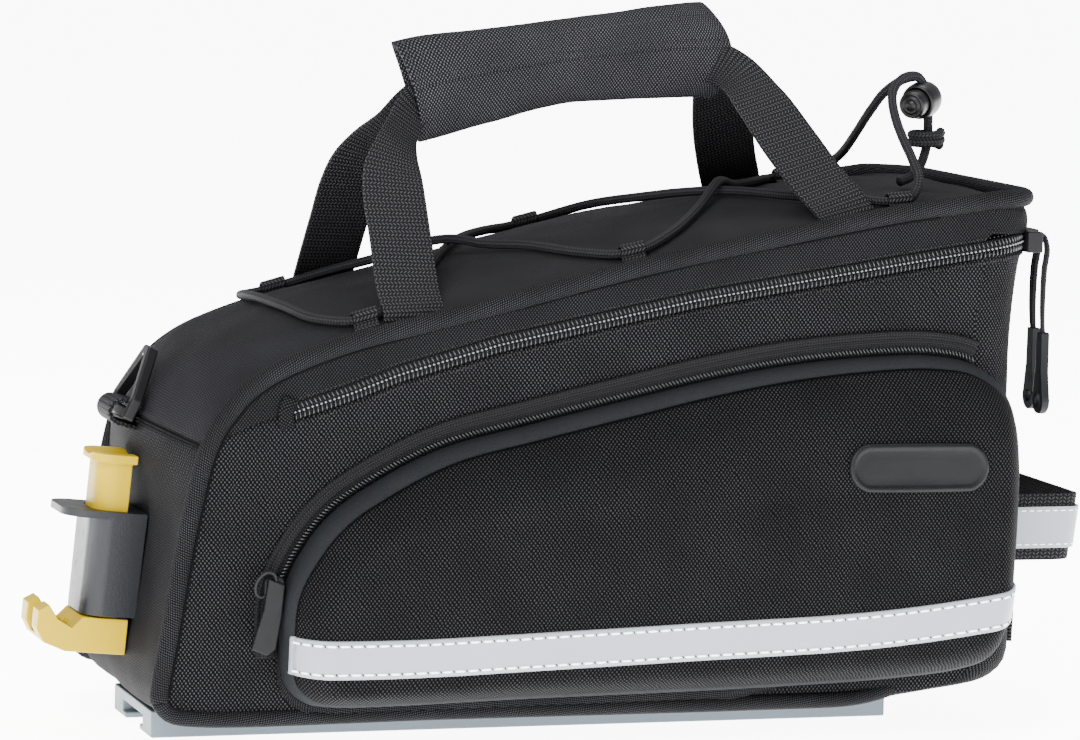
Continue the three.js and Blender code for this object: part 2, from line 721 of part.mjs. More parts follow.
function cordLockBody() {
  const half = lockLength / 2;
  const shell = turned([[0, -half], [lockRadius * 0.6, -half], [lockRadius, -half * 0.55],
    [lockRadius, half * 0.7], [lockRadius * 0.86, half], [0, half]]);
  const bore = turned([[0, half - buttonBore], [buttonRadius + buttonPlay, half - buttonBore],
    [buttonRadius + buttonPlay, half + 2], [0, half + 2]]);
  return alongAxis(shell.subtract(bore), lockPlace, lockAxis);
}

function cordLockButton() {
  const start = lockLength / 2 - buttonBore + buttonTravel + 0.5;
  const end = start + buttonLength;
  const knob = turned([[0, start], [buttonRadius, start], [buttonRadius, end - 2.2],
    [buttonRadius * 0.72, end - 0.5], [0, end]]);
  return alongAxis(knob, lockPlace, lockAxis);
}

function cordTails() {
  const points = tailPoints.map(({ x, y, z }) => new THREE.Vector3(x, y, z));
  const knot = new THREE.SphereGeometry(1, 10, 6);
  knot.scale(8, 6, 4.8);
  knot.translate(knotPlace.x, knotPlace.y, knotPlace.z);
  const side = points.map(({ x, y, z }) => new THREE.Vector3(x + 1.2, y + 3, z));
  return tube(points, cordRadius, 6, 8).add(tube(side, cordRadius, 6, 8)).add(toSolid(knot));
}

// Track and latch

function trackRail() {
  const half = railWidth / 2;
  const mouth = slotMouth / 2;
  const inside = slotInside / 2;
  const outline = [[-half, 0], [-mouth, 0], [-mouth, lipThick], [-inside, lipThick], [-inside, slotCeiling],
    [inside, slotCeiling], [inside, lipThick], [mouth, lipThick], [mouth, 0], [half, 0],
    [half, railHeight], [-half, railHeight]];
  const shape = new THREE.Shape(outline.map(([y, z]) => new THREE.Vector2(y, z)));
  const bar = slabUp(shape, 0, railLength);
  const lay = new THREE.Matrix4().makeBasis(
    new THREE.Vector3(0, 1, 0), new THREE.Vector3(0, 0, 1), new THREE.Vector3(1, 0, 0));
  lay.setPosition(-halfLength + railFrontInset, 0, 0);
  return transformed(bar, lay);
}

// Frame of the latch: its axis leans back with the bag's front
function latchFrame() {
  const lean = THREE.MathUtils.degToRad(latchLean);
  const frame = new THREE.Matrix4().makeRotationY(lean);
  const foot = upToZ(0.167);
  frame.setPosition(alongToX(0.0105), 0, foot);
  return frame;
}

function latchPlan(depth, width, front, radius) {
  const half = width / 2;
  const shape = new THREE.Shape();
  shape.moveTo(-depth, -half);
  shape.lineTo(-front + radius, -half);
  shape.absarc(-front + radius, -half + radius, radius, -Math.PI / 2, -Math.PI, true);
  shape.lineTo(-front, half - radius);
  shape.absarc(-front + radius, half - radius, radius, Math.PI, Math.PI / 2, true);
  shape.lineTo(-depth, half);
  shape.closePath();
  return shape;
}

const stemBack = 6;

function stemShape(grow) {
  return latchPlan(stemBack - grow, stemWidth + 2 * grow, stemBack + stemDepth + grow, stemDepth * 0.62);
}

function latchHousing() {
  const shell = slabUp(latchPlan(-4, latchWidth, latchDepth, latchCorner), 0, latchHeight);
  const lip = latchPlan(2, latchWidth, latchDepth + flangeReach, 9);
  const flange = slabUp(lip, latchHeight - flangeThick, latchHeight);
  const bore = slabUp(stemShape(stemPlay), -5, latchHeight + 5);
  const solid = shell.add(flange).subtract(bore);
  return transformed(solid, latchFrame()).subtract(form(-seat));
}

function releaseLatch() {
  const top = latchHeight + stemShow;
  const stem = slabUp(stemShape(0), -2, top);
  const cap = slabUp(latchPlan(stemBack - capOverhang, stemWidth + 2 * capOverhang,
    stemBack + stemDepth + capOverhang + 1, stemDepth * 0.6), top - 0.2, top + capThick);
  const dish = new THREE.CylinderGeometry(22, 22, 60, 40);
  dish.rotateZ(Math.PI / 2);
  dish.translate(-10, 0, top + capThick + 20.6);
  const side = [[-2, -tongueThick], [-26, -tongueThick], [-tongueReach + 3, -tongueThick + 3],
    [-tongueReach, -tongueThick + 8], [-tongueReach, 0.5], [-tongueReach + 4, 3], [-tongueReach + 8, -2.5],
    [-24, -5.5], [-20, -1], [-2, -1]];
  const tongue = slabAcross(side, -tongueWidth / 2, tongueWidth / 2);
  const notch = box(-tongueReach - 2, -23, -5, 5, -10, 10);
  const solid = stem.add(cap).subtract(toSolid(dish)).add(tongue.subtract(notch));
  return transformed(solid, latchFrame());
}

// Rings with their webbing, light loop and rear pieces

function ringWedge() {
  const half = ringBase / 2;
  const outer = new THREE.Shape();
  outer.moveTo(-half, 0);
  outer.lineTo(half, 0);
  outer.lineTo(half, ringTall * 0.3);
  outer.lineTo(4, ringTall);
  outer.lineTo(-4, ringTall);
  outer.lineTo(-half, ringTall * 0.3);
  outer.closePath();
  const hole = new THREE.Path();
  hole.moveTo(-half + ringWire, ringWire);
  hole.lineTo(-half + ringWire, ringTall * 0.3 - 0.6);
  hole.lineTo(-1, ringTall - ringWire);
  hole.lineTo(1, ringTall - ringWire);
  hole.lineTo(half - ringWire, ringTall * 0.3 - 0.6);
  hole.lineTo(half - ringWire, ringWire);
  hole.closePath();
  outer.holes.push(hole);
  const ring = slabUp(outer, -ringWire / 2, ringWire / 2);
  return transformed(ring, new THREE.Matrix4().makeTranslation(0, -ringWire / 2, 0));
}

// A flat webbing loop round a ring's base bar
function ringWebbing(length) {
  const round = ringWire * 0.72 + seat;
  const outer = new THREE.Shape();
  outer.moveTo(-length, -round - webbingThick);
  outer.lineTo(ringWire / 2, -round - webbingThick);
  outer.absarc(ringWire / 2, 0, round + webbingThick, -Math.PI / 2, Math.PI / 2, false);
  outer.lineTo(-length, round + webbingThick);
  outer.closePath();
  const hole = new THREE.Path();
  hole.moveTo(-length + 3, -round);
  hole.lineTo(-length + 3, round);
  hole.lineTo(ringWire / 2, round);
  hole.absarc(ringWire / 2, 0, round, Math.PI / 2, -Math.PI / 2, true);
  hole.closePath();
  outer.holes.push(hole);
  const half = (ringBase - 2 * ringWire - 2) / 2;
  const laid = new THREE.Matrix4().makeBasis(
    new THREE.Vector3(0, 1, 0), new THREE.Vector3(0, 0, 1), new THREE.Vector3(1, 0, 0));
  return transformed(slabUp(outer, -half, half, 5), laid);
}

function placed(solid, right, up, place) {
  const normal = new THREE.Vector3().crossVectors(right, up);
  const matrix = new THREE.Matrix4().makeBasis(right, up, normal);
  matrix.setPosition(place);
  return transformed(solid, matrix);
}

function frontRingPieces() {
  const right = new THREE.Vector3(0, -1, 0);
  const up = new THREE.Vector3(0.43, 0, 0.90).normalize();
  const base = new THREE.Vector3(alongToX(frontRing.along), frontRing.y, upToZ(frontRing.up));
  const ring = placed(ringWedge(), right, up, base);
  const web = placed(ringWebbing(16), right, new THREE.Vector3(-0.96, 0, 0.28), base);
  return { ring, webbing: web.subtract(form(-seat)) };
}

function loopPlan(span, reach, thick, outset) {
  const half = span / 2 + outset;
  const far = halfLength + reach + outset;
  const start = halfLength - 6;
  const round = 6;
  const shape = new THREE.Shape();
  shape.moveTo(start, -half);
  shape.lineTo(far - round, -half);
  shape.absarc(far - round, -half + round, round, -Math.PI / 2, 0, false);
  shape.lineTo(far, half - round);
  shape.absarc(far - round, half - round, round, 0, Math.PI / 2, false);
  shape.lineTo(start, half);
  shape.lineTo(start, half - thick);
  shape.lineTo(far - round, half - thick);
  shape.absarc(far - round, half - round, round - thick, Math.PI / 2, 0, true);
  shape.lineTo(far - thick, -half + round);
  shape.absarc(far - round, -half + round, round - thick, 0, -Math.PI / 2, true);
  shape.lineTo(start, -half + thick);
  shape.closePath();
  return shape;
}

function flared(solid, level) {
  const shear = new THREE.Matrix4().makeShear(0, 0, 0, 0, lightLoopFlare, 0);
  shear.setPosition(-lightLoopFlare * level, 0, 0);
  return transformed(solid, shear);
}

function lightLoopPieces() {
  const low = upToZ(0.268);
  const level = low + lightLoopHeight / 2;
  const plan = loopPlan(lightLoopSpan, lightLoopReach, lightLoopThick, 0);
  const band = slabUp(plan, low, low + lightLoopHeight, 4);
  const strip = slabUp(loopPlan(lightLoopSpan, lightLoopReach, reflectorThick, seat + reflectorThick),
    level - reflectorHeight / 2, level + reflectorHeight / 2, 4);
  const keepOut = form(-seat);
  return { band: flared(band, level).subtract(keepOut), strip: flared(strip, level).subtract(keepOut) };
}

function rearPatch() {
  const low = upToZ(0.115);
  const half = lightLoopSpan / 2 + patchMargin;
  const plate = box(halfLength - patchBack, halfLength + patchProud, -half, half, low, low + patchHeight);
  return plate.subtract(form(-seat));
}

// Main zipper's sliders with their cords and pullers

function rearSliderPlace(y) {
  const ring = formRing(y / halfWidth, 0);
  const level = upToZ(readAlong(zipperLine, 0.985, 'up'));
  const behind = ring.filter(({ x }) => x > 0);
  const rear = behind.filter(({ z }) => z < level).reduce((best, point) => (point.z > best.z ? point : best));
  const above = behind.filter(({ z }) => z >= level).reduce((best, point) => (point.x > best.x ? point : best));
  return new THREE.Vector3(Math.max(rear.x, above.x), y, level);
}

function mainSlider(y) {
  const place = rearSliderPlace(y);
  const body = toSolid(new THREE.BoxGeometry(sliderThick, sliderLength, sliderWidth));
  const moved = transformed(body, new THREE.Matrix4().makeTranslation(place.x + sliderThick / 3, place.y, place.z));
  return moved.subtract(form(-seat));
}

// Distance from the rear to the middle of a pull cord that hangs over its slider
function pullCordX(place) {
  return place.x + sliderThick * 5 / 6 + seat + pullCordRadius;
}

function pullCord(y, swing) {
  const place = rearSliderPlace(y);
  const outX = pullCordX(place);
  const points = [[0, 3], [2.4, -3], [0.6, -14], [1.6, -26], [1.6, -pullDrop]].map(([out, drop]) => (
    new THREE.Vector3(outX + out, place.y + swing * (3 - drop) * 0.05, place.z + drop)));
  return tube(points, pullCordRadius, 6, 10);
}

function puller(y, swing) {
  const place = rearSliderPlace(y);
  const half = pullerWidth / 2;
  const shape = new THREE.Shape();
  shape.moveTo(-half * 0.5, 0);
  shape.lineTo(-half * 0.55, -pullerLength * 0.45);
  shape.absarc(0, -pullerLength + half, half, Math.PI * 0.86, Math.PI * 2.14, false);
  shape.lineTo(half * 0.55, -pullerLength * 0.45);
  shape.lineTo(half * 0.5, 0);
  shape.closePath();
  const hole = new THREE.Path();
  hole.absarc(0, -pullerLength + half, half * 0.45, 0, 2 * Math.PI, false);
  shape.holes.push(hole);
  const plate = slabUp(shape, -pullerThick / 2, pullerThick / 2, 5);
  const top = new THREE.Vector3(pullCordX(place) + 1.6, place.y + swing * 2, place.z - pullDrop - seat);
  return placed(plate, new THREE.Vector3(0, 1, 0), new THREE.Vector3(0, 0, 1), top);
}

// The assembly

const looks = {
  fabric: { color: 0x1c1c1f, roughness: 0.9, metalness: 0 },
  webbing: { color: 0x222225, roughness: 0.85, metalness: 0 },
  zipper: { color: 0x2a2b2e, roughness: 0.55, metalness: 0.1 },
  blackPlastic: { color: 0x26282b, roughness: 0.4, metalness: 0 },
  greyPlastic: { color: 0x7d858b, roughness: 0.45, metalness: 0 },
  yellowPlastic: { color: 0xf6d400, roughness: 0.35, metalness: 0 },
  reflective: { color: 0xc9cdd0, roughness: 0.4, metalness: 0.2 },
  rubber: { color: 0x2d2e30, roughness: 0.6, metalness: 0 },
  cord: { color: 0x2b2c2e, roughness: 0.75, metalness: 0 },
};

const bag = new THREE.Group();

function add(name, solid, look) {
  const mesh = new THREE.Mesh(toGeometry(solid), new THREE.MeshStandardMaterial(looks[look]));
  mesh.name = name;
  bag.add(mesh);
}

function addPair(name, solid, look) {
  add(`${name}_near`, solid, look);
  add(`${name}_far`, mirrored(solid), look);
}

const shell = form(0).subtract(form(wall));
const lidShell = form(0).subtract(form(lidWall));
add('body_tub', grooved(shell.intersect(besideZipper(-1))), 'fabric');
add('lid', grooved(lidShell.intersect(besideZipper(1))), 'fabric');
add('main_zipper', mainZipper(), 'zipper');

const { edge, bottomNear, bottomFar } = piping(0);
add('edge_piping', edge, 'fabric');
add('bottom_piping_near', bottomNear, 'fabric');
add('bottom_piping_far', bottomFar, 'fabric');

addPair('side_pocket', pocketShell(), 'fabric');
addPair('pocket_zipper', pocketZipper(), 'zipper');
addPair('pocket_slider', pocketSlider(), 'blackPlastic');
addPair('pocket_pull', pocketPull(), 'rubber');
addPair('reflective_band', reflectiveBand(), 'reflective');
addPair('badge', badge(), 'rubber');

addPair('handle_strap', handleStrap(), 'webbing');
add('handle_grip', grip(), 'fabric');

loopPlaces.forEach((place) => add(`cord_loop_${place.name}`, cordLoop(place), 'webbing'));
add('elastic_cord', tube(cordPoints(), cordRadius, 6, 108), 'cord');
add('cord_tails', cordTails(), 'cord');
add('cord_lock_body', cordLockBody(), 'blackPlastic');
add('cord_lock_button', cordLockButton(), 'blackPlastic');

add('track_rail', trackRail(), 'greyPlastic');
add('latch_housing', latchHousing(), 'blackPlastic');
add('release_latch', releaseLatch(), 'yellowPlastic');

const front = frontRingPieces();
add('front_ring', front.ring, 'blackPlastic');
add('front_ring_webbing', front.webbing, 'webbing');
const lightLoop = lightLoopPieces();
add('light_loop', lightLoop.band, 'webbing');
add('light_loop_reflector', lightLoop.strip, 'reflective');
add('rear_patch', rearPatch(), 'webbing');

sliderPlaces.forEach((y, i) => {
  const swing = i === 0 ? -1 : 1;
  add(`main_slider_${i + 1}`, mainSlider(y), 'blackPlastic');
  add(`pull_cord_${i + 1}`, pullCord(y, swing), 'cord');
  add(`puller_${i + 1}`, puller(y, swing), 'blackPlastic');
});

// The origin lies under the middle of the bag's length
bag.updateMatrixWorld(true);
const extent = new THREE.Box3().setFromObject(bag);
bag.position.x = -(extent.min.x + extent.max.x) / 2;

export default bag;
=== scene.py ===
# %% [markdown]
# # A bicycle trunk bag on its slide-in track
# The real object is a boxy cloth bag with a padded lid, two moulded side pockets, a carrying handle
# of webbing with a wrapped grip, an elastic cord laced over the lid and a plastic track with a latch.
# Soft pieces are lofted from the bag's own profile, what repeats along a seam is made with Geometry
# Nodes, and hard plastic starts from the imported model's own solids with their edges rounded.
# Every length below is in millimetres until `to_frame` turns it into metres.

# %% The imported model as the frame
import math
import bpy
import bmesh
import numpy as np
from mathutils import Matrix, Vector, noise
from mathutils.bvhtree import BVHTree


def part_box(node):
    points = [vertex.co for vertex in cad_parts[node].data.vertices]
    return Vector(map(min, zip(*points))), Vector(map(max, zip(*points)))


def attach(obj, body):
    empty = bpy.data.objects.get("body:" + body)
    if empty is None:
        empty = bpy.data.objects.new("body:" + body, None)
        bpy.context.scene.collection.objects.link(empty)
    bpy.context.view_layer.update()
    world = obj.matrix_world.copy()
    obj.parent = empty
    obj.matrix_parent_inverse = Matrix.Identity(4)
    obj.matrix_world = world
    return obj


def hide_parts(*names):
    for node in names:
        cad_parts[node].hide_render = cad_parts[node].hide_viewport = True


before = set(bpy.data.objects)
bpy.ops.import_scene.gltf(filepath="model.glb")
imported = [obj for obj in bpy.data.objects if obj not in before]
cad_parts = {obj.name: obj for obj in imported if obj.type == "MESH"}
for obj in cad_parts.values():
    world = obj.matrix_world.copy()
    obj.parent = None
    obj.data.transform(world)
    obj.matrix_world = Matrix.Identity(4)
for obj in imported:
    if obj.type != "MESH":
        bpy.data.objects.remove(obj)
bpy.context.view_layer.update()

# %% [markdown]
# The camera stands far away with a long lens, a little to the left and just above the bag, which is
# how the photograph was taken. It comes first because the free cord is measured in its view.

# %% Camera
CAMERA_PLACE, LENS, LENS_SHIFT = (-0.6131, -1.905, 0.359), 166.667, (0.0151, -0.0181)
azimuth, elevation, roll = (math.radians(v) for v in (-17.5, 6.05, 1.5))
forward = Vector((-math.sin(azimuth) * math.cos(elevation), math.cos(azimuth) * math.cos(elevation),
                  -math.sin(elevation)))
level_right = Vector((math.cos(azimuth), math.sin(azimuth), 0))
level_up = level_right.cross(forward)
right = level_right * math.cos(roll) + level_up * math.sin(roll)
up = level_up * math.cos(roll) - level_right * math.sin(roll)
camera_data = bpy.data.cameras.new("camera")
camera_data.sensor_width = 36
camera_data.lens = LENS
camera_data.shift_x, camera_data.shift_y = LENS_SHIFT
camera_data.clip_end = 20
camera = bpy.data.objects.new("camera", camera_data)
turn = Matrix((right, up, -forward)).transposed().to_4x4()
camera.matrix_world = Matrix.Translation(CAMERA_PLACE) @ turn
bpy.context.collection.objects.link(camera)
bpy.context.scene.camera = camera
print("camera looks along", [round(v, 3) for v in forward])

# %% [markdown]
# ## Measures and small tools
# The bag's side profile, its zipper line and its pocket outline are short tables: shares of the
# bag's length and height. A smooth curve through each table gives as many points as a piece needs.

# %% Named sizes
LENGTH, WIDTH, HEIGHT, BASE = 356, 150, 203, 11
HALF = WIDTH / 2
CROWN, CORNER = 14, 22
SHIFT = -0.14625
SEAT = 0.3
BASE_RISE, BASE_RISE_END = 5, 0.06
PIPING_RADIUS, PIPING_SUNK = 3.6, 0.5
PIPING_END, PIPING_FADE, PIPING_DIP = 96, 48, 2.3
EDGE_SHADOW_INSET = 3.3
ZIPPER_HEIGHT, ZIPPER_START = 7.2, -129
POCKET_DEPTH, POCKET_WALL, POCKET_ROLL = 23, 2.4, 50
BAND_HEIGHT = 15
WEBBING_WIDTH, WEBBING_THICK = 25, 1.8
CORD_RADIUS = 1.9
REAR_TURN, REAR_TURN_RUN = 134, 38
LOOP_SPAN, LOOP_REACH, LOOP_CORNER, LOOP_TILT, LOOP_MIDDLE = 96, 33, 6, .12, 78.9
BAND_FROM, BAND_TO, BAND_HEM = -129.2, 170.2, 12
BADGE_HALF_WIDTH, BADGE_HALF_HEIGHT = 29, 9.6
SIDES = ((-1, "near"), (1, "far"))


def along_x(along):
    return (along - 0.5) * LENGTH


def up_z(up_share):
    return BASE + up_share * HEIGHT


def to_frame(points):
    """Millimetres round the middle of the bag, turned into the frame's metres."""
    points = np.asarray(points, float)
    return (points + np.array([SHIFT, 0, 0])) * 0.001


def in_mm(table):
    """A table's shares of length and height in millimetres. Its further columns stay."""
    return np.column_stack([along_x(table[:, 0]), up_z(table[:, 1]), table[:, 2:]])


def clamped(value):
    return min(max(value, 0.0), 1.0)


def run_of(points):
    """The distance along a line of points, from its start to each point."""
    return np.concatenate([[0], np.cumsum(np.linalg.norm(np.diff(points, axis=0), axis=1))])


def with_far_half(half):
    """A near half that ends on the middle plane, followed by its mirror image."""
    return np.vstack([half, half[:-1][::-1] * np.array([1, -1, 1])])


# %% Tables of the form
SIDE_PROFILE = np.array([
    (.040, 0, 0), (.014, .015, 0), (.003, .055, 0), (.004, .090, 0), (.012, .172, 0), (.022, .286, .06),
    (.031, .380, .18), (.037, .430, .45), (.048, .512, .92), (.060, .562, 1), (.076, .603, 1),
    (.093, .635, .98), (.115, .663, .94), (.140, .685, .9), (.205, .726, .88), (.281, .759, .88),
    (.374, .798, .9), (.531, .867, .88), (.716, .933, .7), (.857, .978, .36), (.949, .995, .12),
    (.989, 1, 0), (1.004, .978, 0), (1.004, .925, 0), (.997, .882, 0), (.988, .760, .05),
    (.986, .620, .05), (.992, .438, .05), (.997, .240, .05), (.999, .143, 0), (.995, .080, 0),
    (.972, .047, 0), (.900, .026, 0), (.810, .005, 0), (.670, 0, 0), (.330, 0, 0)])
ZIPPER_LINE = np.array([
    (-.08, .480), (.048, .532), (.080, .562), (.110, .583), (.138, .596), (.205, .633), (.260, .669),
    (.372, .724), (.486, .767), (.598, .808), (.716, .842), (.834, .876), (.952, .908), (.983, .916),
    (1.080, .930)])
POCKET_OUTLINE = np.array([
    (.185, .044, .24), (.157, .054, .26), (.138, .085, .30), (.132, .158, .32), (.133, .251, .36),
    (.152, .330, .40), (.185, .404, .44), (.230, .460, .52), (.306, .525, .64), (.407, .570, .76),
    (.520, .616, .88), (.612, .652, .96), (.705, .680, 1), (.798, .695, 1), (.868, .697, .9),
    (.916, .682, .7), (.949, .645, .52), (.969, .591, .40), (.978, .512, .32), (.980, .414, .28),
    (.978, .291, .28), (.970, .172, .28), (.949, .105, .28), (.916, .084, .26), (.837, .069, .26),
    (.669, .057, .24), (.416, .049, .24)])
POCKET_SPINE = np.array([(.330, .270), (.860, .350)])
BAND_LINE = np.array([
    (.128, .110), (.160, .108), (.190, .107), (.280, .108), (.420, .116), (.600, .127), (.760, .137),
    (.840, .148), (.900, .160), (.950, .172), (.974, .182)])
print("profile points:", len(SIDE_PROFILE), "pocket points:", len(POCKET_OUTLINE))


# %% Smooth curves through a table's rows
def smooth_at(rows, t, closed=False):
    """A point at row number t on a centripetal curve through the rows."""
    count = len(rows)
    k = math.floor(t)
    if not closed:
        k = min(max(k, 0), count - 2)

    def row(i):
        if closed:
            return rows[i % count]
        if i < 0:
            return 2 * rows[0] - rows[1]
        if i >= count:
            return 2 * rows[-1] - rows[-2]
        return rows[i]

    p = [np.asarray(row(k + i), float) for i in (-1, 0, 1, 2)]
    knots = [0.0]
    for a, b in zip(p, p[1:]):
        knots.append(knots[-1] + max(np.linalg.norm(b[:3] - a[:3]), 1e-6) ** 0.5)
    x = knots[1] + (t - k) * (knots[2] - knots[1])
    a = [((knots[i + 1] - x) * p[i] + (x - knots[i]) * p[i + 1]) / (knots[i + 1] - knots[i])
         for i in range(3)]
    b = [((knots[i + 2] - x) * a[i] + (x - knots[i]) * a[i + 1]) / (knots[i + 2] - knots[i])
         for i in range(2)]
    return ((knots[2] - x) * b[0] + (x - knots[1]) * b[1]) / (knots[2] - knots[1])


def smooth_run(rows, count, closed=False, start=0.0, end=None):
    """Evenly spaced points on the curve between two row numbers."""
    rows = np.asarray(rows, float)
    end = (len(rows) if closed else len(rows) - 1) if end is None else end
    fine = np.array([smooth_at(rows, t, closed) for t in np.linspace(start, end, count * 6 + 1)])
    return even_run(fine, count)


def even_run(fine, count):
    """The same line with count equal steps."""
    run = run_of(fine[:, :3])
    wanted = np.linspace(0, run[-1], count + 1)
    return np.array([np.interp(wanted, run, fine[:, c]) for c in range(fine.shape[1])]).T


PROFILE_MM, ZIPPER_MM = in_mm(SIDE_PROFILE), in_mm(ZIPPER_LINE)
print("profile length, mm:", round(float(run_of(smooth_run(PROFILE_MM[:, :2], 200, True))[-1])))


# %% The bag's outer form
def profile_frame(t):
    """Point and outward direction of the side profile at row number t, with the crown's share."""
    point = smooth_at(PROFILE_MM, t, True)
    ahead, behind = (smooth_at(PROFILE_MM, t + d, True)[:2] for d in (0.02, -0.02))
    run = (ahead - behind) / np.linalg.norm(ahead - behind)
    return point[0], point[1], max(0.0, point[2]), -run[1], run[0]


def form_point(frame_row, y, lift=0.0):
    """A place on the bag's skin over the profile point, y millimetres from the middle plane."""
    x, z, crown, out_x, out_z = frame_row
    out = crown * CROWN * max(0.0, 1 - (y / HALF) ** 2) ** 0.7 + lift
    past = min(max(0.0, abs(y) - (HALF - CORNER)), CORNER)
    drawn_in = CORNER - math.sqrt(CORNER ** 2 - past ** 2)
    share = clamped((x - REAR_TURN) / REAR_TURN_RUN)
    near_base = max(0.0, 1 - (z - BASE) / (BASE_RISE_END * HEIGHT))
    rise = BASE_RISE * (abs(y) / HALF) ** 12 * near_base
    return np.array([x + out_x * out - drawn_in * share, y, z + out_z * out + rise])


def profile_line(start, end, out, y):
    """A line beside the profile between two row numbers, moved outwards, at one place across."""
    line = [profile_frame(t) for t in np.linspace(start, end, 150)]
    return np.array([(x + out_x * out, y, z + out_z * out) for x, z, _, out_x, out_z in line])


def zipper_z(x):
    return float(np.interp(x, ZIPPER_MM[:, 0], ZIPPER_MM[:, 1]))


def zipper_gap(x):
    """Half the height that the zipper takes, which is nothing in front of its start."""
    return clamped((x - (ZIPPER_START - 3)) / 6) * ZIPPER_HEIGHT / 2


def stations():
    """Places across the bag and the distance along the cloth to each, dense round the rear corners."""
    flat = HALF - CORNER
    inner = np.linspace(-flat, flat, 27)
    turns = np.linspace(0, math.pi / 2, 13)[1:]
    ys = [*(-flat - CORNER * np.sin(turns[::-1])), *inner, *(flat + CORNER * np.sin(turns))]
    us = [*(-flat - CORNER * turns[::-1]), *inner, *(flat + CORNER * turns)]
    return np.array(ys), np.array(us)


STATION_Y, STATION_U = stations()
print("stations across:", len(STATION_Y))


# %% Meshes from grids of points
def coons(bottom, top, left, right):
    """A grid spanned between four border lines. Its rows run from the bottom line to the top line."""
    n, m = len(bottom), len(left)
    u = np.linspace(0, 1, n)[None, :, None]
    v = np.linspace(0, 1, m)[:, None, None]
    flat = (1 - v) * bottom[None] + v * top[None] + (1 - u) * left[:, None] + u * right[:, None]
    corners = ((1 - u) * (1 - v) * bottom[0] + u * (1 - v) * bottom[-1]
               + (1 - u) * v * top[0] + u * v * top[-1])
    return flat - corners


def skin_faces(bm, points, uv, close, slot_of=None):
    """Four-sided faces over a grid of points, with their UV. A closed direction meets its start."""
    layer = bm.loops.layers.uv.get("weave") or bm.loops.layers.uv.new("weave")
    rows, cols = points.shape[:2]
    placed = to_frame(points)
    verts = [[bm.verts.new(placed[r, c]) for c in range(cols)] for r in range(rows)]
    for r in range(rows if close[0] else rows - 1):
        for c in range(cols if close[1] else cols - 1):
            r2, c2 = (r + 1) % rows, (c + 1) % cols
            face = bm.faces.new((verts[r][c], verts[r][c2], verts[r2][c2], verts[r2][c]))
            if slot_of is not None:
                face.material_index = slot_of(r)
            for loop, (a, b) in zip(face.loops, ((r, c), (r, c + 1), (r + 1, c + 1), (r + 1, c))):
                loop[layer].uv = uv[min(a, len(uv) - 1), min(b, uv.shape[1] - 1)] * 0.001
    return verts


def grid_mesh(name, grids, materials, centre, weld=0.01, close=(False, False), slots=None):
    """One mesh from grids of (points, UV in millimetres). Faces are turned away from centre."""
    bm = bmesh.new()
    for index, (points, uv) in enumerate(grids):
        skin_faces(bm, points, uv, close, slots and (lambda row, grid=index: slots(grid, row)))
    bmesh.ops.remove_doubles(bm, verts=bm.verts, dist=weld * 0.001)
    bmesh.ops.dissolve_degenerate(bm, edges=bm.edges, dist=1e-6)
    bmesh.ops.recalc_face_normals(bm, faces=bm.faces)
    middle = Vector(to_frame(centre))
    if sum(f.normal.dot(f.calc_center_median() - middle) * f.calc_area() for f in bm.faces) < 0:
        bmesh.ops.reverse_faces(bm, faces=bm.faces)
    return mesh_object(name, bm, materials)


def mesh_object(name, bm, materials):
    mesh = bpy.data.meshes.new(name)
    bm.to_mesh(mesh)
    bm.free()
    for polygon in mesh.polygons:
        polygon.use_smooth = True
    obj = bpy.data.objects.new(name, mesh)
    bpy.context.collection.objects.link(obj)
    for material in materials if isinstance(materials, list) else [materials]:
        mesh.materials.append(material)
    return obj


def thicken(obj, thickness):
    """Gives an open skin a wall, inwards from its outer face."""
    wall = obj.modifiers.new("wall", "SOLIDIFY")
    wall.thickness = thickness * 0.001
    wall.offset = -1.0
    wall.use_even_offset = False


def belongs(obj, body="bag", replaces=()):
    """Says what a piece rides on and hides the CAD nodes it stands for."""
    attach(obj, body)
    if replaces:
        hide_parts(*replaces)
    print(f"{obj.name}: {len(obj.data.vertices)} points, rides on {body}")
    return obj


# %% A tube or a strip that follows a path
def sweep(name, centres, across, outward, section, material, widths=None, closed_path=False):
    """Carries a flat section of (across, outward) millimetres along the path."""
    centres, across, outward = (np.asarray(v, float) for v in (centres, across, outward))
    section = np.asarray(section, float)
    widths = np.ones(len(centres)) if widths is None else widths
    points = (centres[:, None] + across[:, None] * (section[None, :, :1] * widths[:, None, None])
              + outward[:, None] * section[None, :, 1:])
    girth = run_of(np.vstack([section, section[:1]]))
    uv = np.stack(np.meshgrid(run_of(centres), girth, indexing="ij"), axis=-1)
    bm = bmesh.new()
    verts = skin_faces(bm, points, uv, (closed_path, True))
    if not closed_path:
        for row in (verts[0], verts[-1]):
            bm.faces.new(row)
    bmesh.ops.recalc_face_normals(bm, faces=bm.faces)
    return mesh_object(name, bm, material)


def unit(v):
    v = np.asarray(v, float)
    return v / np.maximum(np.linalg.norm(v, axis=-1, keepdims=True), 1e-9)


def path_axes(centres, hint):
    """Directions across and outward along a path, with outward as near to the hint as it can be."""
    centres = np.asarray(centres, float)
    run = unit(np.gradient(centres, axis=0))
    hint = np.broadcast_to(np.asarray(hint, float), centres.shape)
    across = unit(np.cross(run, hint))
    return across, unit(np.cross(across, run))


def round_section(radius, sides):
    turns = np.linspace(0, 2 * math.pi, sides, endpoint=False)
    return np.column_stack([radius * np.cos(turns), radius * np.sin(turns)])


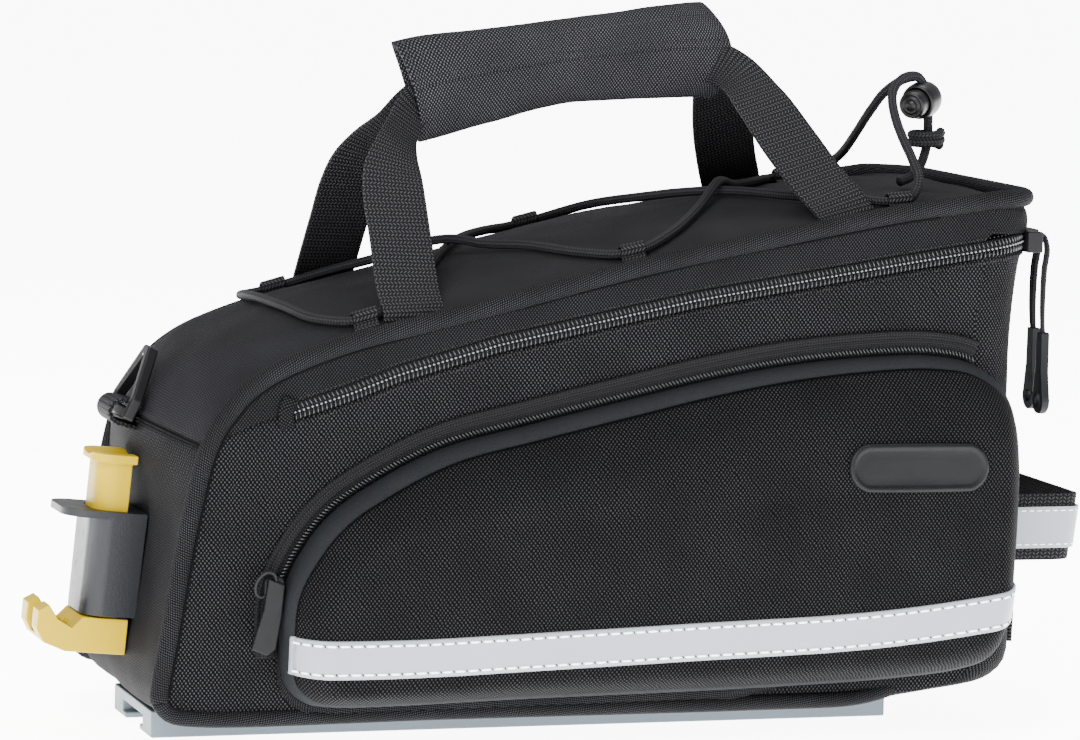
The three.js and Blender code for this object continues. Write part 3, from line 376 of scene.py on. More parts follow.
def flat_section(width, thick, edge=0.4, along=8):
    """A strip's section with rounded edges."""
    half, rise = width / 2, thick / 2
    points = []
    for sign_a, sign_b, start in ((1, -1, -90), (1, 1, 0), (-1, 1, 90), (-1, -1, 180)):
        corner = (sign_a * (half - edge), sign_b * (rise - edge))
        for angle in np.radians(start + np.array([0, 30, 60, 90])):
            points.append((corner[0] + edge * math.cos(angle), corner[1] + edge * math.sin(angle)))
        if start in (0, 180):
            across = -sign_a * (half - edge) - corner[0]
            points += [(corner[0] + across * k / along, sign_b * rise) for k in range(1, along)]
    return points


def tube(name, path, radius, sides, material):
    """A round cord along a path. Its axes turn with the path and never twist round it."""
    path = np.asarray(path, float)
    run = unit(np.gradient(path, axis=0))
    across = [unit(np.cross(run[0], (0.31, 0.17, 0.93)))]
    for k in range(1, len(path)):
        across.append(unit(across[-1] - run[k] * np.dot(across[-1], run[k])))
    across = np.array(across)
    return sweep(name, path, across, np.cross(across, run), round_section(radius, sides), material)


# %% [markdown]
# ## Finishes
# Heavy polyester cloth shows float points on a staggered lattice over a near black ground, and their lighter
# colour is a painted highlight on each float.
# Two multiplied waves give just that lattice, and they read the piece's own UV map, so the pattern
# follows each panel. Webbing, grain and dust are small groups of their own, placed with their own
# values in each material.


# %% Node helpers
def node_group(name, inputs, outputs):
    group = bpy.data.node_groups.new(name, "ShaderNodeTree")
    for title, kind, value in inputs:
        socket = group.interface.new_socket(title, in_out="INPUT", socket_type=kind)
        if value is not None:
            socket.default_value = value
    for title, kind in outputs:
        group.interface.new_socket(title, in_out="OUTPUT", socket_type=kind)
    return group, group.nodes.new("NodeGroupInput"), group.nodes.new("NodeGroupOutput")


def maths(tree, operation, a, b=None, c=None):
    node = tree.nodes.new("ShaderNodeMath")
    node.operation = operation
    for socket, value in zip(node.inputs, (a, b, c)):
        if value is None:
            continue
        if isinstance(value, (int, float)):
            socket.default_value = value
        else:
            tree.links.new(value, socket)
    return node.outputs[0]


def noise_at(tree, vector, scale, detail=2.0, roughness=0.5):
    node = tree.nodes.new("ShaderNodeTexNoise")
    node.inputs["Scale"].default_value = scale
    node.inputs["Detail"].default_value = detail
    node.inputs["Roughness"].default_value = roughness
    if vector is not None:
        tree.links.new(vector, node.inputs["Vector"])
    return node.outputs["Fac"]


def ranged(tree, value, low, high):
    """0 under low, 1 over high and a soft step between."""
    node = tree.nodes.new("ShaderNodeMapRange")
    node.interpolation_type = "SMOOTHSTEP"
    node.inputs["From Min"].default_value = low
    node.inputs["From Max"].default_value = high
    tree.links.new(value, node.inputs["Value"])
    return node.outputs["Result"]


FLOAT, VECTOR = "NodeSocketFloat", "NodeSocketVector"


# %% Weave group
def make_weave():
    """A staggered lattice of float points, which the cloth paints light as a highlight, with yarns that
    wander a little.
    """
    group, enter, leave = node_group("weave", [
        ("Vector", VECTOR, None), ("Pitch", FLOAT, 0.0016), ("Row", FLOAT, 0.0010),
        ("Wander", FLOAT, 0.8)], [("Point", FLOAT), ("Height", FLOAT), ("Patchy", FLOAT)])
    split = group.nodes.new("ShaderNodeSeparateXYZ")
    group.links.new(enter.outputs["Vector"], split.inputs[0])
    loose = maths(group, "SUBTRACT", noise_at(group, enter.outputs["Vector"], 260, 1), 0.5)
    drift = maths(group, "MULTIPLY", loose, enter.outputs["Wander"])
    across = maths(group, "ADD", maths(group, "DIVIDE", split.outputs[0], enter.outputs["Pitch"]), drift)
    upward = maths(group, "ADD", maths(group, "DIVIDE", split.outputs[1], enter.outputs["Row"]), drift)
    wave_a = maths(group, "COSINE", maths(group, "MULTIPLY", across, 2 * math.pi))
    wave_b = maths(group, "COSINE", maths(group, "MULTIPLY", upward, math.pi))
    lattice = maths(group, "MULTIPLY", wave_a, wave_b)
    group.links.new(ranged(group, lattice, -0.1, 1.0), leave.inputs["Point"])
    group.links.new(maths(group, "MULTIPLY_ADD", lattice, 0.5, 0.5), leave.inputs["Height"])
    group.links.new(noise_at(group, enter.outputs["Vector"], 38, 3), leave.inputs["Patchy"])
    return group


WEAVE = make_weave()


# %% Webbing group
def make_webbing():
    """Ribbed webbing: slanting dashes that turn round at each rib."""
    group, enter, leave = node_group("webbing_rib", [
        ("Vector", VECTOR, None), ("Pitch", FLOAT, 0.0016), ("Rib", FLOAT, 0.0026)],
        [("Point", FLOAT), ("Height", FLOAT)])
    split = group.nodes.new("ShaderNodeSeparateXYZ")
    group.links.new(enter.outputs["Vector"], split.inputs[0])
    rib = maths(group, "DIVIDE", split.outputs[1], enter.outputs["Rib"])
    zigzag = maths(group, "PINGPONG", rib, 1.0)
    run = maths(group, "ADD", maths(group, "DIVIDE", split.outputs[0], enter.outputs["Pitch"]),
                maths(group, "MULTIPLY", zigzag, 0.9))
    dash = maths(group, "COSINE", maths(group, "MULTIPLY", run, 2 * math.pi))
    valley = maths(group, "ABSOLUTE", maths(group, "COSINE", maths(group, "MULTIPLY", rib, math.pi)))
    height = maths(group, "MULTIPLY", maths(group, "MULTIPLY_ADD", dash, 0.5, 0.5),
                   maths(group, "SUBTRACT", 1.0, maths(group, "POWER", valley, 6.0)))
    group.links.new(ranged(group, height, 0.25, 1.0), leave.inputs["Point"])
    group.links.new(height, leave.inputs["Height"])
    return group


WEBBING = make_webbing()


# %% Grain and dust group
def make_grain():
    """Fine moulded grain with a little dust and rubbing, from the object's own coordinates."""
    group, enter, leave = node_group("grain", [("Vector", VECTOR, None), ("Size", FLOAT, 1800.0)],
                                     [("Height", FLOAT), ("Dust", FLOAT), ("Rub", FLOAT)])
    fine = group.nodes.new("ShaderNodeTexNoise")
    fine.inputs["Detail"].default_value = 2
    group.links.new(enter.outputs["Vector"], fine.inputs["Vector"])
    group.links.new(enter.outputs["Size"], fine.inputs["Scale"])
    group.links.new(fine.outputs["Fac"], leave.inputs["Height"])
    dust = noise_at(group, enter.outputs["Vector"], 55, 5, 0.65)
    group.links.new(ranged(group, dust, 0.48, 0.8), leave.inputs["Dust"])
    rub = noise_at(group, enter.outputs["Vector"], 210, 4, 0.7)
    group.links.new(ranged(group, rub, 0.5, 0.75), leave.inputs["Rub"])
    return group


GRAIN = make_grain()
print("node groups:", [g.name for g in bpy.data.node_groups])


# %% Materials
def new_material(name, roughness, specular):
    material = bpy.data.materials.new(name)
    material.use_nodes = True
    shader = material.node_tree.nodes["Principled BSDF"]
    shader.inputs["Roughness"].default_value = roughness
    shader.inputs["Specular IOR Level"].default_value = specular
    return material, material.node_tree, shader


def mixed(tree, factor, dark, light):
    node = tree.nodes.new("ShaderNodeMix")
    node.data_type = "RGBA"
    for socket, colour in ((node.inputs[6], dark), (node.inputs[7], light)):
        if isinstance(colour, tuple):
            socket.default_value = (*colour, 1)
        else:
            tree.links.new(colour, socket)
    tree.links.new(factor, node.inputs[0])
    return node.outputs[2]


def bumped(tree, shader, height, strength, distance):
    node = tree.nodes.new("ShaderNodeBump")
    node.inputs["Strength"].default_value = strength
    node.inputs["Distance"].default_value = distance
    tree.links.new(height, node.inputs["Height"])
    tree.links.new(node.outputs["Normal"], shader.inputs["Normal"])
    return node


def placed_group(tree, group, source, **values):
    node = tree.nodes.new("ShaderNodeGroup")
    node.node_tree = group
    for title, value in values.items():
        node.inputs[title.replace("_", " ")].default_value = value
    tree.links.new(source, node.inputs["Vector"])
    return node


CLOTH_ROUGH, CLOTH_SHINE, WEBBING_ROUGH = 0.85, 0.03, 0.7


def patterned(name, group, roughness, specular, turn_by, depth, **sizes):
    """A material whose pattern reads the piece's own UV map and stands out by its height."""
    material, tree, shader = new_material(name, roughness, specular)
    coordinates = tree.nodes.new("ShaderNodeUVMap")
    coordinates.uv_map = "weave"
    mapping = tree.nodes.new("ShaderNodeMapping")
    mapping.inputs["Rotation"].default_value = (0, 0, turn_by)
    tree.links.new(coordinates.outputs[0], mapping.inputs[0])
    pattern = placed_group(tree, group, mapping.outputs[0], **sizes)
    bumped(tree, shader, pattern.outputs["Height"], 0.8, depth)
    return material, tree, shader, pattern.outputs


def woven(name, dark, light, pitch=0.0016, row=0.0010, turn_by=0.0, depth=0.0003):
    """Cloth: dark between its float points, which carry a painted highlight that is brighter in some patches
    than in others.
    """
    material, tree, shader, weave = patterned(name, WEAVE, CLOTH_ROUGH, CLOTH_SHINE, turn_by, depth,
                                              Pitch=pitch, Row=row)
    dim_float_highlight, bright_float_highlight = (tuple(share * c for c in light) for share in (0.45, 1.55))
    # Float points get a painted highlight whose strength changes at random from patch to patch.
    colour = mixed(tree, weave["Point"], dark, mixed(tree, weave["Patchy"], dim_float_highlight, bright_float_highlight))
    tree.links.new(colour, shader.inputs["Base Color"])
    rough = maths(tree, "MULTIPLY_ADD", weave["Point"], -0.25, CLOTH_ROUGH)
    tree.links.new(rough, shader.inputs["Roughness"])
    return material


def ribbed(name, dark, light, pitch=0.0016, rib=0.0026, depth=0.0004, turn_by=0.0):
    material, tree, shader, ribs = patterned(name, WEBBING, WEBBING_ROUGH, 0.06, turn_by, depth,
                                             Pitch=pitch, Rib=rib)
    tree.links.new(mixed(tree, ribs["Point"], dark, light), shader.inputs["Base Color"])
    return material


def moulded(name, colour, roughness, size=1800.0, depth=0.00006, dust=0.25, specular=0.22):
    """Plastic, rubber, metal or thread: grain, a little dust and rubbed places."""
    material, tree, shader = new_material(name, roughness, specular)
    coordinates = tree.nodes.new("ShaderNodeTexCoord")
    grain = placed_group(tree, GRAIN, coordinates.outputs["Object"], Size=size)
    lighter = tuple(min(1.0, c * 1.25 + 0.004) for c in colour)
    shade = maths(tree, "MULTIPLY", grain.outputs["Dust"], dust)
    tree.links.new(mixed(tree, shade, colour, lighter), shader.inputs["Base Color"])
    rough = maths(tree, "MULTIPLY_ADD", grain.outputs["Rub"], 0.12, roughness)
    tree.links.new(rough, shader.inputs["Roughness"])
    bumped(tree, shader, grain.outputs["Height"], 0.6, depth)
    return material


# %% The bag's finishes
bag_cloth = woven("bag_cloth", (.0006, .0006, .0008), (.0205, .0205, .022))
pocket_cloth = woven("pocket_cloth", (.0004, .0004, .0005), (.0135, .0135, .0145))
# The lid cloth is lighter than the tub's partly as a finer cloth and partly as painted light on the lid's
# lit top and front.
lid_cloth = woven("lid_cloth", (.0014, .0014, .0017), (.026, .026, .029), pitch=.0012, row=.0008)
band_cloth = woven("lid_band_cloth", (.0008, .0008, .0010), (.0150, .0150, .0165),
                   pitch=.0013, row=.0008, depth=.0002)
bias_cloth = woven("bias_cloth", (.0012, .0012, .0014), (.021, .021, .023),
                   pitch=.0011, row=.0008, turn_by=.8)
grip_cloth = woven("grip_cloth", (.0025, .0025, .003), (.042, .042, .046), pitch=.0013, row=.0008)
# A near-black cloth used only as painted shade: thin lines in seams and grooves where shadow falls.
painted_seam_shade = woven("painted_seam_shade", (.0010, .0010, .0012), (.003, .003, .0035),
               pitch=.001, row=.0006, depth=.0001)
strap_webbing = ribbed("strap_webbing", (.0014, .0014, .0017), (.024, .024, .026),
                       pitch=.0015, rib=.0017, turn_by=math.pi / 2)
tape_cloth = ribbed("zipper_tape", (.0016, .0016, .0019), (.010, .010, .011),
                    pitch=.0011, rib=.0011, depth=.00015)
cord_braid = ribbed("cord_braid", (.0026, .0026, .003), (.018, .018, .020),
                    pitch=.0012, rib=.0015, depth=.0002)
strip_cloth = moulded("pocket_strip_cloth", (.0050, .0056, .0066), .75, 1900, .0004, specular=.08)
tooth_plastic = moulded("tooth_plastic", (.007, .0074, .0085), .3, 2500, .00002, specular=.35)
# The middle coil row's light colour is a painted highlight on the glossy centre of the coil.
tooth_painted_highlight = moulded("tooth_painted_highlight", (.075, .076, .082), .3, 2500, .00002, specular=.5)
thread = moulded("black_thread", (.004, .004, .0045), .7, 3000, .0001)
white_thread = moulded("white_thread", (.80, .81, .82), .6, 3000, .0001)
silver_tape = moulded("silver_tape", (.17, .187, .205), .38, 2600, .00003, dust=.3)
black_plastic = moulded("black_plastic", (.0020, .0020, .0024), .38, 1600, .00004, specular=.16)
blue_black_plastic = moulded("latch_plastic", (.0032, .0040, .0054), .42, 1400, .0001)
rubber = moulded("grey_rubber", (.0010, .0012, .0017), .5, 1300, .00008, specular=.12)
yellow_plastic = moulded("yellow_plastic", (.30, .205, .0), .38, 900, .00003, dust=.1, specular=.08)
grey_plastic = moulded("rail_plastic", (.065, .083, .098), .5, 1100, .00005)
dark_metal = moulded("dark_metal", (.0030, .0030, .0036), .5, 1200, .00003, specular=.1)
print("materials:", len(bpy.data.materials))

# %% [markdown]
# ## Stitches, teeth and ticks
# Every seam repeats one small bead. A Geometry Nodes tree turns a line of points into a curve,
# steps along it at a named pitch, and sets a bead at each step with its long side turned by a named
# slant. The direction away from the cloth travels with the line as an attribute.


# %% The bead tree
def make_bead_tree():
    tree = bpy.data.node_groups.new("beads_on_a_line", "GeometryNodeTree")
    face = tree.interface
    face.new_socket("Geometry", in_out="INPUT", socket_type="NodeSocketGeometry")
    for title, kind, value in (
            ("Pitch", "NodeSocketFloat", 0.002), ("Size", "NodeSocketVector", (.001, .0005, .0004)),
            ("Shift", "NodeSocketVector", (0, 0, 0)), ("Slant", "NodeSocketFloat", 0.0),
            ("Uneven", "NodeSocketFloat", 0.0), ("Seed", "NodeSocketInt", 1),
            ("Material", "NodeSocketMaterial", None)):
        socket = face.new_socket(title, in_out="INPUT", socket_type=kind)
        if value is not None:
            socket.default_value = value
    face.new_socket("Geometry", in_out="OUTPUT", socket_type="NodeSocketGeometry")
    add, link = tree.nodes.new, tree.links.new
    enter, leave = add("NodeGroupInput"), add("NodeGroupOutput")
    line = add("GeometryNodeMeshToCurve")
    link(enter.outputs["Geometry"], line.inputs["Mesh"])
    steps = add("GeometryNodeResampleCurve")
    steps.mode = "LENGTH"
    link(line.outputs[0], steps.inputs["Curve"])
    link(enter.outputs["Pitch"], steps.inputs["Length"])
    bead = add("GeometryNodeMeshUVSphere")
    bead.inputs["Segments"].default_value = 6
    bead.inputs["Rings"].default_value = 4
    bead.inputs["Radius"].default_value = 0.5
    smooth = add("GeometryNodeSetShadeSmooth")
    link(bead.outputs["Mesh"], smooth.inputs[0])
    outward = add("GeometryNodeInputNamedAttribute")
    outward.data_type = "FLOAT_VECTOR"
    outward.inputs["Name"].default_value = "outward"
    run = add("GeometryNodeInputTangent")
    facing = add("FunctionNodeAxesToRotation")
    facing.primary_axis, facing.secondary_axis = "Z", "X"
    link(outward.outputs["Attribute"], facing.inputs[0])
    link(run.outputs[0], facing.inputs[1])
    set_out = add("GeometryNodeInstanceOnPoints")
    link(steps.outputs[0], set_out.inputs["Points"])
    link(smooth.outputs[0], set_out.inputs["Instance"])
    link(facing.outputs[0], set_out.inputs["Rotation"])
    moved = add("GeometryNodeTranslateInstances")
    link(set_out.outputs[0], moved.inputs["Instances"])
    link(enter.outputs["Shift"], moved.inputs["Translation"])
    random = add("FunctionNodeRandomValue")
    random.data_type = "FLOAT"
    random.inputs[2].default_value = -1
    random.inputs[3].default_value = 1
    link(enter.outputs["Seed"], random.inputs["Seed"])
    spread = add("ShaderNodeMath")
    spread.operation = "MULTIPLY_ADD"
    link(random.outputs[1], spread.inputs[0])
    link(enter.outputs["Uneven"], spread.inputs[1])
    link(enter.outputs["Slant"], spread.inputs[2])
    angles = add("ShaderNodeCombineXYZ")
    link(spread.outputs[0], angles.inputs["Z"])
    turned = add("GeometryNodeRotateInstances")
    link(moved.outputs[0], turned.inputs["Instances"])
    link(angles.outputs[0], turned.inputs["Rotation"])
    scaled = add("GeometryNodeScaleInstances")
    link(turned.outputs[0], scaled.inputs["Instances"])
    link(enter.outputs["Size"], scaled.inputs["Scale"])
    real = add("GeometryNodeRealizeInstances")
    link(scaled.outputs[0], real.inputs[0])
    paint = add("GeometryNodeSetMaterial")
    link(real.outputs[0], paint.inputs["Geometry"])
    link(enter.outputs["Material"], paint.inputs["Material"])
    link(paint.outputs[0], leave.inputs[0])
    return tree


BEADS = make_bead_tree()


# %% Beads along lines, as one plain mesh
def beads(name, lines, pitch, size, material, shift=(0, 0, 0), slant=0.0, uneven=0.0, seed=1):
    """lines is a list of (points, outward directions) in millimetres, size is (along, across, out)."""
    mesh = bpy.data.meshes.new(name + "_lines")
    places, edges, outs = [], [], []
    for points, outward in lines:
        start = len(places)
        points = np.asarray(points, float)
        outward = np.broadcast_to(np.asarray(outward, float), points.shape)
        places.extend(to_frame(points).tolist())
        outs.extend(outward.tolist())
        edges.extend((start + k, start + k + 1) for k in range(len(points) - 1))
    mesh.from_pydata(places, edges, [])
    attribute = mesh.attributes.new("outward", "FLOAT_VECTOR", "POINT")
    attribute.data.foreach_set("vector", np.array(outs).ravel())
    carrier = bpy.data.objects.new(name + "_lines", mesh)
    bpy.context.collection.objects.link(carrier)
    modifier = carrier.modifiers.new("beads", "NODES")
    modifier.node_group = BEADS
    values = {"Pitch": pitch * .001, "Size": tuple(v * .001 for v in size),
              "Shift": tuple(v * .001 for v in shift), "Slant": slant, "Uneven": uneven,
              "Seed": seed, "Material": material}
    for item in BEADS.interface.items_tree:
        if item.item_type == "SOCKET" and item.in_out == "INPUT" and item.name in values:
            modifier[item.identifier] = values[item.name]
    evaluated = carrier.evaluated_get(bpy.context.evaluated_depsgraph_get())
    result = bpy.data.meshes.new_from_object(evaluated)
    carrier.modifiers.clear()
    bpy.data.objects.remove(carrier)
    obj = bpy.data.objects.new(name, result)
    bpy.context.collection.objects.link(obj)
    if not result.materials:
        result.materials.append(material)
    return belongs(obj)


# %% [markdown]
# ## The bag's tub
# Cloth over thin foam. The front, base and rear are one strip that runs round under the bag, and
# each side is a patch spanned between that strip's edge and the zipper. The cloth sags a little
# between its seams, which a low noise in the outward direction gives.


# %% Uneven cloth
def uneven(points, outward, mask, amount):
    """Moves the points in and out by a soft noise, and leaves them in place where the mask is 0."""
    moved = points.copy()
    rows, cols = points.shape[:2]
    for r in range(rows):
        for c in range(cols):
            place = Vector(points[r, c])
            wave = noise.noise(place / 46) + 0.45 * noise.noise(place / 17 + Vector((9, 2, 5)))
            moved[r, c] += outward[r, c] * wave * amount * mask[r, c]
    return moved


def border_mask(rows, cols, soft=0.12):
    """0 on the borders and 1 inside."""
    v = np.linspace(0, 1, rows)[:, None] * np.ones((1, cols))
    u = np.linspace(0, 1, cols)[None, :] * np.ones((rows, 1))
    mask = np.clip(np.minimum.reduce([v, 1 - v, u, 1 - u]) / soft, 0, 1)
    return mask * mask * (3 - 2 * mask)


# %% Strips and sides of the form
# Row numbers of SIDE_PROFILE where one panel ends and the next begins, and steps along each panel.
FRONT_SEAM, FLAP_START, REAR_UPPER, REAR_LOWER, REAR_FOOT, FRONT_FOOT = 8.3, 21.8, 22.82, 23.62, 30.3, 36.6
END_STEPS, BASE_STEPS, TOP_STEPS, FLAP_STEPS = 44, 84, 110, 10


def profile_rows(start, end, count):
    """Even steps along the profile between two row numbers."""
    fine = np.linspace(start, end, count * 5 + 1)
    run = run_of(np.array([smooth_at(PROFILE_MM, t, True)[:2] for t in fine]))
    wanted = np.linspace(0, run[-1], count + 1)
    return [profile_frame(t) for t in np.interp(wanted, run, fine)], wanted


def wrap_grid(rows, run, amount):
    points = np.array([[form_point(row, y) for y in STATION_Y] for row in rows])
    outward = np.array([[(row[3], 0, row[4]) for _ in STATION_Y] for row in rows])
    uv = np.array([[(u, v) for u in STATION_U] for v in run])
    return uneven(points, outward, border_mask(*points.shape[:2]), amount), uv


def side_grid(bottom, top, left, right, side, amount, belly):
    """A side panel between its four borders, pushed out by its belly in the middle."""
    grid = coons(bottom, top, left, right)
    mask = border_mask(*grid.shape[:2], soft=0.3)
    outward = np.broadcast_to(np.array([0, side, 0.0]), grid.shape)
    grid = grid + outward * (mask * belly)[..., None]
    uv = grid[..., [0, 2]] * np.array([1 if side < 0 else -1, 1])
    return uneven(grid, outward, mask, amount), uv


# %% Tub
def make_tub():
    """The strip under the bag and its two sides, whose upper edges lie under the zipper."""
    rear, bottom, front = (profile_rows(a, b, n) for a, b, n in (
        (REAR_LOWER, REAR_FOOT, END_STEPS), (REAR_FOOT, FRONT_FOOT, BASE_STEPS),
        (FRONT_FOOT, len(SIDE_PROFILE) + FRONT_SEAM, END_STEPS)))
    rows = [*rear[0], *bottom[0][1:], *front[0][1:]]
    after_rear, after_bottom = rear[1][-1], rear[1][-1] + bottom[1][-1]
    run = np.concatenate([rear[1], after_rear + bottom[1][1:], after_bottom + front[1][1:]])
    wrap = wrap_grid(rows, run, 1.0)
    grids = [wrap]
    for side, column in ((-1, 0), (1, -1)):
        edge = wrap[0][:, column]
        foot = END_STEPS + BASE_STEPS
        right_line, bottom_line = edge[:END_STEPS + 1][::-1], edge[END_STEPS:foot + 1][::-1]
        left_line = edge[foot:]
        xs = np.linspace(left_line[-1][0], right_line[-1][0], BASE_STEPS + 1)
        top_line = np.array([(x, side * HALF, zipper_z(x) - zipper_gap(x)) for x in xs])
        top_line[0], top_line[-1] = left_line[-1], right_line[-1]
        grids.append(side_grid(bottom_line, top_line, left_line, right_line, side, 0.5, 0.4))
    tub = grid_mesh("tub", grids, bag_cloth, weld=0.05, centre=(0, 0, 90))
    thicken(tub, 3.4)
    return belongs(tub, replaces=("body_tub",))


tub = make_tub()

# %% [markdown]
# ## The lid
# The lid is crowned foam under finer looking cloth, and its narrow side band between the piping and
# the zipper is a smoother cloth. Both come from the same profile, so the lid closes on the tub.


# %% Lid
def make_lid():
    """The crowned top with the short rear flap, and the side bands over the zipper."""
    top_rows, top_run = profile_rows(FRONT_SEAM, FLAP_START, TOP_STEPS)
    rear_rows, rear_run = profile_rows(FLAP_START, REAR_UPPER, FLAP_STEPS)
    rows = [*top_rows, *rear_rows[1:]]
    run = np.concatenate([top_run, top_run[-1] + rear_run[1:]])
    wrap = wrap_grid(rows, run, 1.2)
    grids = [wrap]
    for side, column in ((-1, 0), (1, -1)):
        edge = wrap[0][:, column]
        top_line, right_line = edge[:TOP_STEPS + 1], edge[TOP_STEPS:][::-1]
        xs = np.linspace(top_line[0][0], right_line[0][0], TOP_STEPS + 1)
        bottom_line = np.array([(x, side * HALF, zipper_z(x) + zipper_gap(x)) for x in xs])
        bottom_line[0], bottom_line[-1] = top_line[0], right_line[0]
        left_line = np.repeat(top_line[:1], FLAP_STEPS + 1, axis=0)
        grids.append(side_grid(bottom_line, top_line, left_line, right_line, side, 0.4, 0.9))
    lid = grid_mesh("lid_shell", grids, [lid_cloth, band_cloth], weld=0.05, centre=(0, 0, 120),
                    slots=lambda grid, row: 0 if grid == 0 and row < TOP_STEPS else 1)
    thicken(lid, 3.2)
    return belongs(lid, replaces=("lid",))


lid = make_lid()

# %% [markdown]
# ## Piping
# A cord inside a bias-cut strip of the bag's cloth covers the edges. Its weave runs at a slant,
# because the strip was cut at a slant.


# %% Edge piping
def edge_line():
    near = profile_line(2, 19.4, PIPING_SUNK, -(HALF - PIPING_SUNK))
    reach, middle_x, top_z = CORNER - PIPING_SUNK, LENGTH / 2 - CORNER + 1, up_z(1) + PIPING_SUNK
    corner = [(middle_x + reach * math.sin(a), -(HALF - CORNER) - reach * math.cos(a), top_z)
              for a in np.radians(np.linspace(8, 90, 14))]
    half = np.vstack([near, corner])
    return even_run(np.vstack([half, half[::-1] * np.array([1, -1, 1])]), 420)


edge_piping = tube("edge_piping_cloth", edge_line(), PIPING_RADIUS, 14, bias_cloth)
belongs(edge_piping, replaces=("edge_piping",))
# Beside the piping on each side runs a thin near-black line: painted shadow along the piping's inner foot.
for side, word in SIDES:
    path = profile_line(2.4, 19.2, -EDGE_SHADOW_INSET, side * (HALF + 0.2))
    belongs(tube(f"piping_shadow_line_{word}", path, 0.65, 8, painted_seam_shade))


# %% Bottom piping
def bottom_line_path(side):
    points = []
    for t in np.linspace(31, 38, 100):
        row = profile_frame(t)
        place = form_point(row, side * (HALF - PIPING_SUNK))
        sunk = PIPING_DIP * PIPING_RADIUS * clamped((row[0] - PIPING_END) / PIPING_FADE) ** 2
        out = np.array([row[3], 0, row[4]]) * (PIPING_SUNK - sunk)
        points.append(place + out - np.array([0, side * sunk, 0]))
    return even_run(np.array(points), 150)


for side, word in SIDES:
    piece = tube(f"bottom_piping_cloth_{word}", bottom_line_path(side), PIPING_RADIUS - 0.4, 12, bias_cloth)
    belongs(piece, replaces=(f"bottom_piping_{word}",))

# %% [markdown]
# ## Front seam
# A low sewn line crosses the front where the lid's cloth ends and the tub's begins; its near-black colour is
# painted seam shade.


# %% Front seam line
row = profile_frame(FRONT_SEAM)
path = np.array([form_point(row, y, 0.1) for y in np.linspace(-HALF + 3, HALF - 3, 60)])
belongs(tube("front_seam_line", path, 0.7, 8, painted_seam_shade))

# %% [markdown]
# ## The main zipper
# A large coil zipper on a ribbed tape runs along both sides and round the rear. The tape is swept,
# and the teeth, the middle row with its painted highlight and the rows of small points beside them are
# beads.


# %% Zipper tape and teeth
def zipper_path():
    """Near side, round the rear and back along the far side, with the direction away from the bag."""
    centre_x = LENGTH / 2 - CORNER
    points, outs = [], []
    for x in np.linspace(ZIPPER_START + 0.5, centre_x, 90):
        points.append((x, -HALF, zipper_z(x)))
        outs.append((0, -1, 0))
    for a in np.radians(np.linspace(6, 90, 14)):
        place = (centre_x + CORNER * math.sin(a), -(HALF - CORNER) - CORNER * math.cos(a))
        points.append((*place, zipper_z(place[0])))
        outs.append((math.sin(a), -math.cos(a), 0))
    for y in np.linspace(-45, 0, 10):
        points.append((centre_x + CORNER, y, zipper_z(centre_x + CORNER)))
        outs.append((1, 0, 0))
    points, outs = with_far_half(np.array(points)), with_far_half(np.array(outs, float))
    rise = unit(np.cross(outs, unit(np.gradient(points, axis=0))))
    return points, outs, rise * np.sign(rise[:, 2:3])


middle, outs, rise = zipper_path()
section = [(-3.5, -2.6), (3.5, -2.6), (3.5, -.9), (3, -.6), (.5, -.75), (0, -.9), (-.5, -.75), (-3, -.6),
           (-3.5, -.9)]
belongs(sweep("main_zipper_tape", middle, rise, outs, section, tape_cloth),
        replaces=("main_zipper",))
TOOTH_PITCH, TICK_PITCH = 1.8, 1.25
# The middle row's bright material is a painted highlight, the other teeth keep the dark plastic.
for name, up_shift, out, size, slant, pitch, seed, finish in (
        ("teeth_upper", 1.85, 0.1, (.75, 3.1, 1.5), .22, TOOTH_PITCH, 1, tooth_plastic),
        ("teeth_lower", -1.85, 0.1, (.75, 3.3, 1.5), -.22, TOOTH_PITCH, 2, tooth_plastic),
        ("teeth_middle", 0.0, 0.75, (1.15, 1.0, 1.1), 0, TOOTH_PITCH, 3, tooth_painted_highlight),
        ("tape_points_upper", 4.5, 0.25, (.8, .6, .5), 0, TOOTH_PITCH, 4, thread),
        ("tape_ticks_lower", -4.9, 0.15, (.45, 1.5, .5), 0, TICK_PITCH, 5, thread)):
    line = (middle + rise * up_shift + outs * out, outs)
    beads(name, [line], pitch, size, finish, slant=slant, uneven=.04, seed=seed)


# %% The zipper's closed front end
for side, word in SIDES:
    x, z = ZIPPER_START, zipper_z(ZIPPER_START)
    rows = np.array([(x + .5, side * 75.6, z + 6), (x - 1, side * 76.1, z + 2.4),
                     (x - 1.4, side * 76.1, z - 1.6), (x - .6, side * 75.6, z - 5.4)])
    path = smooth_run(rows, 24)
    across, outward = path_axes(path, (0, side, 0))
    fold = sweep(f"zipper_end_{word}", path, across, outward, flat_section(6, 1.4, .6), band_cloth)
    belongs(fold)

# %% [markdown]
# ## Side pockets
# Each pocket is a moulded shell with soft rolled edges. A smooth strip runs inside its zipper, then
# a seam groove, then the woven panel. The mesh is a stack of rings that run in from the outline to
# a line in the middle, and paired rings meet on that line, so the panel has no hole.


# %% Pocket form
def roll_height(share):
    share = np.clip(share, 0, 1)
    return (1 - (1 - share) ** 2) ** 0.62


def side_face(x):
    past = np.clip(x - (LENGTH / 2 - CORNER + 1.5), 0, CORNER * 0.8)
    return HALF - CORNER + np.sqrt(CORNER ** 2 - past ** 2) + SEAT


OUTLINE_MM, SPINE_MM = in_mm(POCKET_OUTLINE), in_mm(POCKET_SPINE)
POCKET_STEPS, STRIP_ROWS, ROLL_ROWS, PANEL_ROWS = 150, 10, 18, 12
GROOVES = (.35, .7, 1.05, 1.5, 2.2, 3.2)
STRIP_AT = [0, 2, 3.4, 5, 7, 12, 14, 16, 19, 23, 27]
STRIP_WIDE = [1.8, 2.2, 3.2, 4.2, 4.8, 4.8, 4.2, 2.8, 1.8, 1.8, 1.8]


